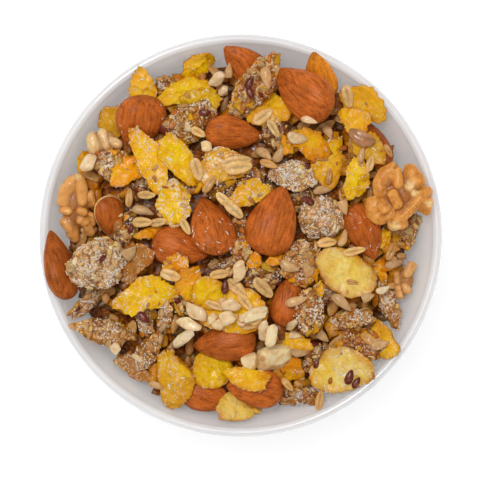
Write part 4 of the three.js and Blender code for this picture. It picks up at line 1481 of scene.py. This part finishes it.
# A cluster with so many shreds is whitish, with a share of white dust and less gold
WHITISH = 80
WHITE_DUST = 0.22
WHITISH_GOLD = 0.2
CLUSTER_EDGE_GOLD = 0.6
SLAB_EDGE_GOLD = 1.0
GOLD_LIMIT = 0.9
TINT_SPREAD = 0.07
WARMTH_SHARE = 0.4
# Specks of sugar on grains, on flakes and their edges, and on clusters, and the numbers of crumbs
# that stand for a full cover
GRAIN_FROST = 0.15
FLAKE_FROST_LIMIT = 0.8
FLAKE_FROST_FULL = 50
EDGE_FROST = 0.3
CLUSTER_FROST_FULL = 60
# Strewn bits: how deep they may be covered, how far they lie out, and their sizes
COVER_DEPTH = 1.0
STREWN_LIFT = 0.1
STREWN_LEAST_SIZE = 0.6
STREWN_SIZE_SPREAD = 0.8
# How many bits are strewn: square millimetres for a shard, bits for a square millimetre of plain and
# other clusters, sugar crumbs for each white one listed, and listed ones for a shred and for a bit
SHARD_AREA = 32
PLAIN_BITS = 0.42
OTHER_BITS = 0.22
SUGAR_CRUMBS = 3
SHRED_SHARE = 3
BIT_SHARE = 4


class Heap:
    """The loose pieces at rest, gathered into one batch for each kind."""

    def __init__(self):
        self.batches = {}
        self.nuts = {}
        self.laid = []
        self.ground = None
        self.draw = None
        self.look = None

    def batch(self, name):
        return self.batches.setdefault(name, Batch())

    def tint(self, name):
        return linear(getattr(self.look, name))

    def varied(self, tint):
        """A colour a little lighter or darker and warmer or cooler."""
        level = 1 + TINT_SPREAD * self.draw.standard_normal()
        warmth = WARMTH_SHARE * TINT_SPREAD * self.draw.standard_normal()
        return tint * level * (1, 1 - warmth, 1 - 2 * warmth)

    def settle(self):
        """Lets every piece of the layout down in turn, then the grains, then the crumbs."""
        scene = bpy.context.scene
        self.look = scene.granola
        self.ground = Ground(BowlForm(scene.granola_bowl))
        self.draw = np.random.default_rng(self.look.seed)
        self.batches.clear()
        self.laid.clear()
        for number, row in enumerate(LOW_CLUSTERS, FIRST_LOW_CLUSTER):
            self.lay_cluster(low_cluster(*row), number)
        for number, row in enumerate(LAYOUT):
            if row["kind"] == "nut":
                self.ground.lift(self.ground.nuts, sampled(*self.nuts[row["name"]]))
            elif row["kind"] == "flake":
                self.lay_flake(row, number)
            else:
                self.lay_cluster(row, number)
        self.lay_grains("oat_flakes", oat_shape, "oat", OATS)
        self.lay_grains("sunflower_kernels", sunflower_shape, "sunflower", SUNFLOWERS)
        self.lay_grains("whole_grains", grain_shape, "grain", GRAINS)
        self.lay_grains("nut_chips", chip_shape, "nut_chip", NUT_CHIPS)
        self.lay_grains("nut_chips", sunflower_shape, "nut_chip", SLIVERS)
        self.lay_grains("nut_chips", splinter_shape, "nut_chip", PALE_KERNELS)
        self.lay_grains("brown_bean", bean_shape, "bean", BEANS)
        self.lay_grains("flax_seeds", flax_shape, "flax", FLAX)
        self.fill_under()
        self.strew_crumbs()

    def lay(self, shape, triangles, x, y, heading, sink, trim=TRIM_LIMIT, leans=LEANS):
        """A shape's points where it comes to rest, which raise the bed for the next ones."""
        points = self.ground.settle(shape, x, y, heading, sink, trim, leans)
        self.ground.lift(self.ground.bed, sampled(points, triangles))
        return points

    def lay_flake(self, row, number):
        shape, triangles, reach = flake_shape(row, number, self.look.flake_thickness / MM)
        trim = 0 if row["on_nuts"] else TRIM_LIMIT
        leans = LEVEL_LEANS if row["level"] else FLAKE_LEANS
        points = self.lay(shape, triangles, row["x"], row["y"], row["heading"], FUSE_DEPTH, trim, leans)
        body = self.varied(self.tint(row["look"]))
        fresh = body if row["look"] == "glazed" else self.tint("bright")
        tint = flake_tint(shape, reach, number, body, fresh, self.tint("toasted"))
        frost = min(FLAKE_FROST_LIMIT, row["sugar"] / FLAKE_FROST_FULL) + EDGE_FROST * reach ** 6
        self.batch("corn_flakes").add(points, triangles, tint, frost)
        self.laid.append((row, points, triangles))

    def lay_cluster(self, row, number):
        shape, triangles, rim = cluster_shape(row, number)
        points = self.lay(shape, triangles, row["x"], row["y"], row["heading"], FUSE_DEPTH)
        edge = (SLAB_EDGE_GOLD if row["slab"] else CLUSTER_EDGE_GOLD) * rim
        golden = (edge + noise_at(shape, CLUSTER_PATCH, number + 3)).clip(0, GOLD_LIMIT)[:, None]
        whitish = row["white"] >= WHITISH
        dust, gold = (WHITE_DUST, WHITISH_GOLD) if whitish else (0, 1)
        tint = self.varied(self.tint("bran" if whitish or row["slab"] else "crumb"))
        tint = tint + dust * (self.tint("white") - tint)
        # The row's shade darkens or lightens the whole cluster; for the low clusters it is painted shade
        tint = row["shade"] * (tint + gold * golden * (self.tint("golden") - tint))
        frost = min(1.0, row["white"] / CLUSTER_FROST_FULL)
        self.batch("seed_clusters").add(points, triangles, tint, frost)
        self.laid.append((row, points, triangles))

    def lay_grains(self, name, shape, look, rows):
        """Grains let down at their listed places, one by one."""
        for number, (x, y, heading, size) in enumerate(rows):
            points, triangles, shade = variants(shape, HAND_DETAIL)[number % VARIANTS]
            laid = self.lay(points * size, triangles, x, y, heading, GRAIN_SINK)
            tint = self.varied(self.tint(look)) * shade[:, None]
            self.batch(name).add(laid, triangles, tint, GRAIN_FROST)

    def fill_under(self):
        """Grains and broken flakes under the pieces where gaps show, darker with painted shade the lower they
        lie.
        """
        shown = self.ground.near_gaps()
        shares = [share for *_, share in UNDER_KINDS]
        for number in range(self.look.under_grains):
            picks = self.draw.choice(shown, size=UNDER_PICKS)
            cell = picks[self.ground.under[picks].argmin()]
            name, shape, looks, size, _ = UNDER_KINDS[self.draw.choice(len(UNDER_KINDS), p=shares)]
            points, triangles, shade = variants(shape)[number % VARIANTS]
            points = points * size * (UNDER_LEAST_SIZE + UNDER_SIZE_SPREAD * self.draw.random())
            x, y = self.ground.places[cell]
            laid = self.ground.settle_under(points, x, y, 360 * self.draw.random())
            top = laid[:, 2].max()
            # Painted shade, darker the deeper the grain lies below the dome
            sunk = (1 + (top - self.ground.core[cell]) / UNDER_SHADE_DEPTH).clip(UNDER_DARKEST_SHADE, 1)
            tint = sunk * UNDER_PAINTED_SHADE * self.varied(self.tint(self.draw.choice(looks))) * shade[:, None]
            if top < self.ground.under_limit[cell]:
                self.ground.lift(self.ground.under, sampled(laid, triangles))
                self.batch(name).add(laid, triangles, tint, GRAIN_FROST)

    def strew(self, name, shape, looks, surface, count, size):
        """Small bits on the upward side of a shape, where nothing covers it."""
        places, normals = scattered(*surface, count, self.draw)
        shown = places[:, 2] > self.ground.top()[self.ground.cells(places)] - COVER_DEPTH
        turns = facing(normals, TAU * self.draw.random(count))
        sizes = size * (STREWN_LEAST_SIZE + STREWN_SIZE_SPREAD * self.draw.random(count) ** 2)
        kinds = self.draw.integers(VARIANTS, size=count)
        for index in np.flatnonzero(shown):
            points, triangles, shade = variants(shape)[kinds[index]]
            laid = points * sizes[index] @ turns[index].T + places[index] + STREWN_LIFT * normals[index]
            tint = self.varied(self.tint(self.draw.choice(looks))) * shade[:, None]
            self.batch(name).add(self.ground.form.kept_inside(laid, 0), triangles, tint, GRAIN_FROST)

    def strew_crumbs(self):
        """Bits, shreds, seeds and sugar on the clusters, flakes and a few almonds."""
        for row, points, triangles in self.laid:
            if row["kind"] == "cluster":
                self.strew_cluster(row, (points, triangles))
            else:
                self.strew_flake(row, (points, triangles))
        for name, shreds in DUSTED_ALMONDS.items():
            self.strew("coconut_shreds", shred_shape, ["white"], self.nuts[name], shreds, size=0.8)

    def strew_cluster(self, row, surface):
        area = row["long"] * row["wide"]
        white = row["white"]
        whitish = white >= WHITISH
        plain = not whitish and not row["slab"]
        looks = WHITISH_COLOURS if whitish else BIT_COLOURS
        shards = int(area / SHARD_AREA) * plain
        bits = int((PLAIN_BITS if plain else OTHER_BITS) * area)
        shreds = white if whitish else white // SHRED_SHARE
        self.strew("sunflower_kernels", sunflower_shape, KERNEL_COLOURS, surface, row["kernels"], size=0.9)
        self.strew("flake_shards", shard_shape, SHARD_COLOURS, surface, shards, size=0.75)
        self.strew("bran_bits", bran_shape, looks, surface, bits, size=1.0)
        self.strew("coconut_shreds", shred_shape, ["white"], surface, shreds, size=1.0)
        self.strew("sugar_crumbs", sugar_shape, ["white"], surface, SUGAR_CRUMBS * white, size=0.65)
        self.strew("flax_seeds", flax_shape, ["flax"], surface, 1, size=0.8)

    def strew_flake(self, row, surface):
        sugar = row["sugar"]
        self.strew("sugar_crumbs", sugar_shape, ["white"], surface, SUGAR_CRUMBS * sugar, size=0.6)
        self.strew("coconut_shreds", shred_shape, ["white"], surface, sugar // SHRED_SHARE, size=1.1)
        self.strew("bran_bits", bran_shape, BIT_COLOURS, surface, sugar // BIT_SHARE, size=0.8)


heap = Heap()

BED_DETAIL = (160, 80)
BED_POLE = 0.9999
BED_CRUMB = 0.8
BED_CRUMB_SIZE = 3.0
BED_GRIT = 0.6
BED_GRIT_SIZE = 1.5
BED_MOTTLE = 0.3


def core_piece(form, finish, tint):
    """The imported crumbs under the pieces: a dome above, the bowl's inside below."""
    unit, triangles = upright_sphere(*BED_DETAIL)
    angle = np.arctan2(unit[:, 1], unit[:, 0])
    share = np.hypot(unit[:, 0], unit[:, 1])
    edge = bed_top(1, angle)
    base = form.floor_height + CORE_CLEARANCE
    sunk = (-unit[:, 2]).clip(0, 1)
    wall_height = base + (edge - base) * (1 - sunk)
    wall_radius = np.where(sunk > BED_POLE, 0, form.inner_radius(wall_height) - CORE_CLEARANCE)
    above = unit[:, 2] >= 0
    radius = np.where(above, share * (form.inner_radius(edge) - CORE_CLEARANCE), wall_radius)
    height = np.where(above, bed_top(share, angle), wall_height)
    points = np.stack([radius * np.cos(angle), radius * np.sin(angle), height], axis=1)
    crumbs = noise_at(points, BED_CRUMB_SIZE, 1) + BED_GRIT * noise_at(points, BED_GRIT_SIZE, 2)
    points[:, 2] += np.where(above, BED_CRUMB * crumbs * (1 - share ** 8), 0)
    tints = tint * (1 + BED_MOTTLE * crumbs)[:, None]
    return new_piece("crumb_bed", points, triangles, finish, "granola", [HEAP_NODE], tint=tints)


# Stage

def floor_finish(shown, glow):
    """Dull white that gives off a little light."""
    finish = Finish(
        "pale_floor", Roughness=0.9, Specular_IOR_Level=0.1, Emission_Strength=glow,
        Emission_Color=(1, 1, 1, 1),
    )
    finish.clouded(shown, 0.4, least=0.99)
    return finish.material


def make_floor(stage, reach=4.0):
    """A square floor that reaches so many metres each way."""
    shape = bmesh.new()
    bmesh.ops.create_grid(shape, x_segments=4, y_segments=4, size=reach)
    mesh = bpy.data.meshes.new("floor")
    shape.to_mesh(mesh)
    shape.free()
    mesh.materials.append(floor_finish(stage.floor, stage.floor_glow))
    floor = bpy.data.objects.new("floor", mesh)
    bpy.context.scene.collection.objects.link(floor)


# Brightness of the sky by height, from the sides to straight above
SKY_LEVELS = ((0.35, 1.0), (0.7, 0.55), (1.0, 0.4))
# Width and place of each lamp in metres
SOFT_BOX_WIDTH = 0.6
SOFT_BOX_PLACE = (-0.1, 0.16, 1.25)
GLINT_WIDTH = 0.16
GLINT_PLACE = (-0.2, 0.3, 1.2)


def make_lamp(name, size, power, place):
    """A round lamp that shines at the bowl."""
    light = bpy.data.lights.new(name, "AREA")
    light.shape = "DISK"
    light.size = size
    light.energy = power
    lamp = bpy.data.objects.new(name, light)
    lamp.location = place
    lamp.rotation_euler = Vector(place).to_track_quat("Z", "Y").to_euler()
    bpy.context.scene.collection.objects.link(lamp)


def make_sky(strength):
    """White light from all round, strongest from the sides."""
    world = bpy.data.worlds.new("studio_light")
    world.use_nodes = True
    nodes = world.node_tree.nodes
    links = world.node_tree.links
    split = nodes.new("ShaderNodeSeparateXYZ")
    links.new(nodes.new("ShaderNodeTexCoord").outputs["Generated"], split.inputs["Vector"])
    ramp = nodes.new("ShaderNodeValToRGB")
    links.new(split.outputs["Z"], ramp.inputs["Fac"])
    set_stops(ramp.color_ramp.elements, SKY_LEVELS)
    links.new(ramp.outputs["Color"], nodes["Background"].inputs["Color"])
    nodes["Background"].inputs["Strength"].default_value = strength
    bpy.context.scene.world = world


def make_lights(stage):
    """The soft box, the glint lamp and the sky, shown in plain colours."""
    make_lamp("soft_box", SOFT_BOX_WIDTH, stage.key_power, SOFT_BOX_PLACE)
    make_lamp("glint_lamp", GLINT_WIDTH, stage.glint_power, GLINT_PLACE)
    make_sky(stage.sky)
    bpy.context.scene.view_settings.view_transform = "Standard"


def make_camera(stage, rim_height):
    """A camera that looks straight down on the bowl."""
    scene = bpy.context.scene
    camera = bpy.data.cameras.new("camera")
    camera.lens = camera.sensor_width * stage.view_height / stage.view_width
    viewer = bpy.data.objects.new("camera", camera)
    viewer.location = (stage.view_x, stage.view_y, rim_height + stage.view_height)
    scene.collection.objects.link(viewer)
    scene.camera = viewer


# Operators

# Surfaces of the small pieces: size of the mottle in millimetres, roughness, depth of the relief in
# metres and weight of the glaze
GRAIN_SURFACES = {
    "oat_flakes": (1.2, 0.45, 0.0002, 0.25),
    "whole_grains": (1.4, 0.32, 0.00015, 0.25),
    "sunflower_kernels": (1.6, 0.3, 0.00012, 0.25),
    "nut_chips": (1.8, 0.3, 0.0002, 0.5),
    "brown_bean": (2.0, 0.3, 0.0001, 0.5),
}
CRUMB_SURFACES = {
    "flax_seeds": (1.5, 0.3, 0.00003, 0.25),
    "small_chunks": (1.0, 0.4, 0.0002, 0.25),
    "bran_bits": (0.8, 0.4, 0.0001, 0.25),
    "coconut_shreds": (0.6, 0.6, 0.00005, 0.0),
    "sugar_crumbs": (0.4, 0.6, 0.00005, 0.0),
}


def make_small_pieces(surfaces, white):
    """One joined piece of each kind, with its surface."""
    for name, (feature, roughness, depth, glaze) in surfaces.items():
        finish = grain_finish(name + "_skin", feature, roughness, depth, white, glaze)
        heap.batch(name).piece(name, finish)


def nut_rows(kind):
    """Numbers and rows of the layout's nuts of one kind."""
    return [(number, row) for number, row in enumerate(LAYOUT) if row.get("name", "").startswith(kind)]


class GRANOLA_OT_bowl(bpy.types.Operator):
    """Make the porcelain bowl"""

    bl_idname = "granola.make_bowl"
    bl_label = "Bowl"

    def execute(self, context):
        sizes = context.scene.granola_bowl
        points, triangles = bowl_shape(BowlForm(sizes))
        finish = porcelain_finish(sizes.glaze)
        new_piece("porcelain_bowl", points, triangles, finish, "porcelain", ["bowl"])
        return {"FINISHED"}


class GRANOLA_OT_almonds(bpy.types.Operator):
    """Make the almonds where their nodes lie"""

    bl_idname = "granola.make_almonds"
    bl_label = "Almonds"

    def execute(self, context):
        look = context.scene.granola_nuts
        finish = almond_finish()
        for number, row in nut_rows("almond"):
            name = row["name"]
            heap.nuts[name] = almond_piece(name, number, row["heading"], look, finish)
        return {"FINISHED"}


class GRANOLA_OT_walnuts(bpy.types.Operator):
    """Make the walnut pieces where their nodes lie"""

    bl_idname = "granola.make_walnuts"
    bl_label = "Walnuts"

    def execute(self, context):
        look = context.scene.granola_nuts
        golden = walnut_finish("walnut_skin", veins=0.7, glaze=0.15)
        broken = walnut_finish("walnut_flesh", veins=0.2, glaze=0.5)
        for number, row in nut_rows("walnut"):
            name = row["name"]
            finish = broken if name in GLASSY_WALNUTS else golden
            heap.nuts[name] = walnut_piece(name, number, row["heading"], look, finish)
        return {"FINISHED"}


class GRANOLA_OT_bed(bpy.types.Operator):
    """Make the bed of crumbs and let the loose pieces settle on it"""

    bl_idname = "granola.make_bed"
    bl_label = "Bed of crumbs"

    def execute(self, context):
        if not heap.nuts:
            raise RuntimeError("make the almonds and walnuts first, because the loose pieces lie on them")
        heap.settle()
        core_piece(heap.ground.form, cluster_finish(heap.look.white), heap.tint("bed"))
        return {"FINISHED"}


class GRANOLA_OT_flakes(bpy.types.Operator):
    """Make the corn flakes"""

    bl_idname = "granola.make_flakes"
    bl_label = "Corn flakes"

    def execute(self, context):
        for name in ("corn_flakes", "flake_shards"):
            heap.batch(name).piece(name, flake_finish(name + "_skin", context.scene.granola.white))
        return {"FINISHED"}


class GRANOLA_OT_clusters(bpy.types.Operator):
    """Make the clusters of crumbs and seeds"""

    bl_idname = "granola.make_clusters"
    bl_label = "Clusters"

    def execute(self, context):
        heap.batch("seed_clusters").piece("seed_clusters", cluster_finish(context.scene.granola.white))
        return {"FINISHED"}


class GRANOLA_OT_grains(bpy.types.Operator):
    """Make the oats, grains, kernels, chopped nuts and the bean"""

    bl_idname = "granola.make_grains"
    bl_label = "Grains and kernels"

    def execute(self, context):
        make_small_pieces(GRAIN_SURFACES, context.scene.granola.white)
        return {"FINISHED"}


class GRANOLA_OT_crumbs(bpy.types.Operator):
    """Make the seeds, small chunks, bran, coconut shreds and sugar crumbs"""

    bl_idname = "granola.make_crumbs"
    bl_label = "Seeds and crumbs"

    def execute(self, context):
        make_small_pieces(CRUMB_SURFACES, context.scene.granola.white)
        return {"FINISHED"}


class GRANOLA_OT_stage(bpy.types.Operator):
    """Make the floor, the light and the camera"""

    bl_idname = "granola.make_stage"
    bl_label = "Stage"

    def execute(self, context):
        stage = context.scene.granola_stage
        make_floor(stage)
        make_lights(stage)
        make_camera(stage, context.scene.granola_bowl.height)
        return {"FINISHED"}


class GRANOLA_PT_panel(bpy.types.Panel):
    """Shows the settings, then the operators in the order in which they are run"""

    bl_label = "Bowl of granola"
    bl_idname = "GRANOLA_PT_panel"
    bl_space_type = "VIEW_3D"
    bl_region_type = "UI"
    bl_category = "Granola"

    def draw(self, context):
        scene = context.scene
        for settings in (scene.granola_bowl, scene.granola_nuts, scene.granola, scene.granola_stage):
            box = self.layout.box()
            for name in settings.__annotations__:
                box.prop(settings, name)
        for operator in OPERATORS:
            self.layout.operator(operator.bl_idname)


OPERATORS = (
    GRANOLA_OT_bowl,
    GRANOLA_OT_almonds,
    GRANOLA_OT_walnuts,
    GRANOLA_OT_bed,
    GRANOLA_OT_flakes,
    GRANOLA_OT_clusters,
    GRANOLA_OT_grains,
    GRANOLA_OT_crumbs,
    GRANOLA_OT_stage,
)
SETTINGS = {
    "granola_bowl": BowlSettings,
    "granola_nuts": NutSettings,
    "granola": GranolaSettings,
    "granola_stage": StageSettings,
}


def register():
    for kind in (*SETTINGS.values(), *OPERATORS, GRANOLA_PT_panel):
        bpy.utils.register_class(kind)
    for name, settings in SETTINGS.items():
        setattr(bpy.types.Scene, name, PointerProperty(type=settings))


def unregister():
    for name in SETTINGS:
        delattr(bpy.types.Scene, name)
    for kind in (GRANOLA_PT_panel, *reversed(OPERATORS), *SETTINGS.values()):
        bpy.utils.unregister_class(kind)


def main():
    register()
    bpy.ops.granola.make_bowl()
    bpy.ops.granola.make_almonds()
    bpy.ops.granola.make_walnuts()
    bpy.ops.granola.make_bed()
    bpy.ops.granola.make_flakes()
    bpy.ops.granola.make_clusters()
    bpy.ops.granola.make_grains()
    bpy.ops.granola.make_crumbs()
    bpy.ops.granola.make_stage()


if __name__ == "__main__":
    main()
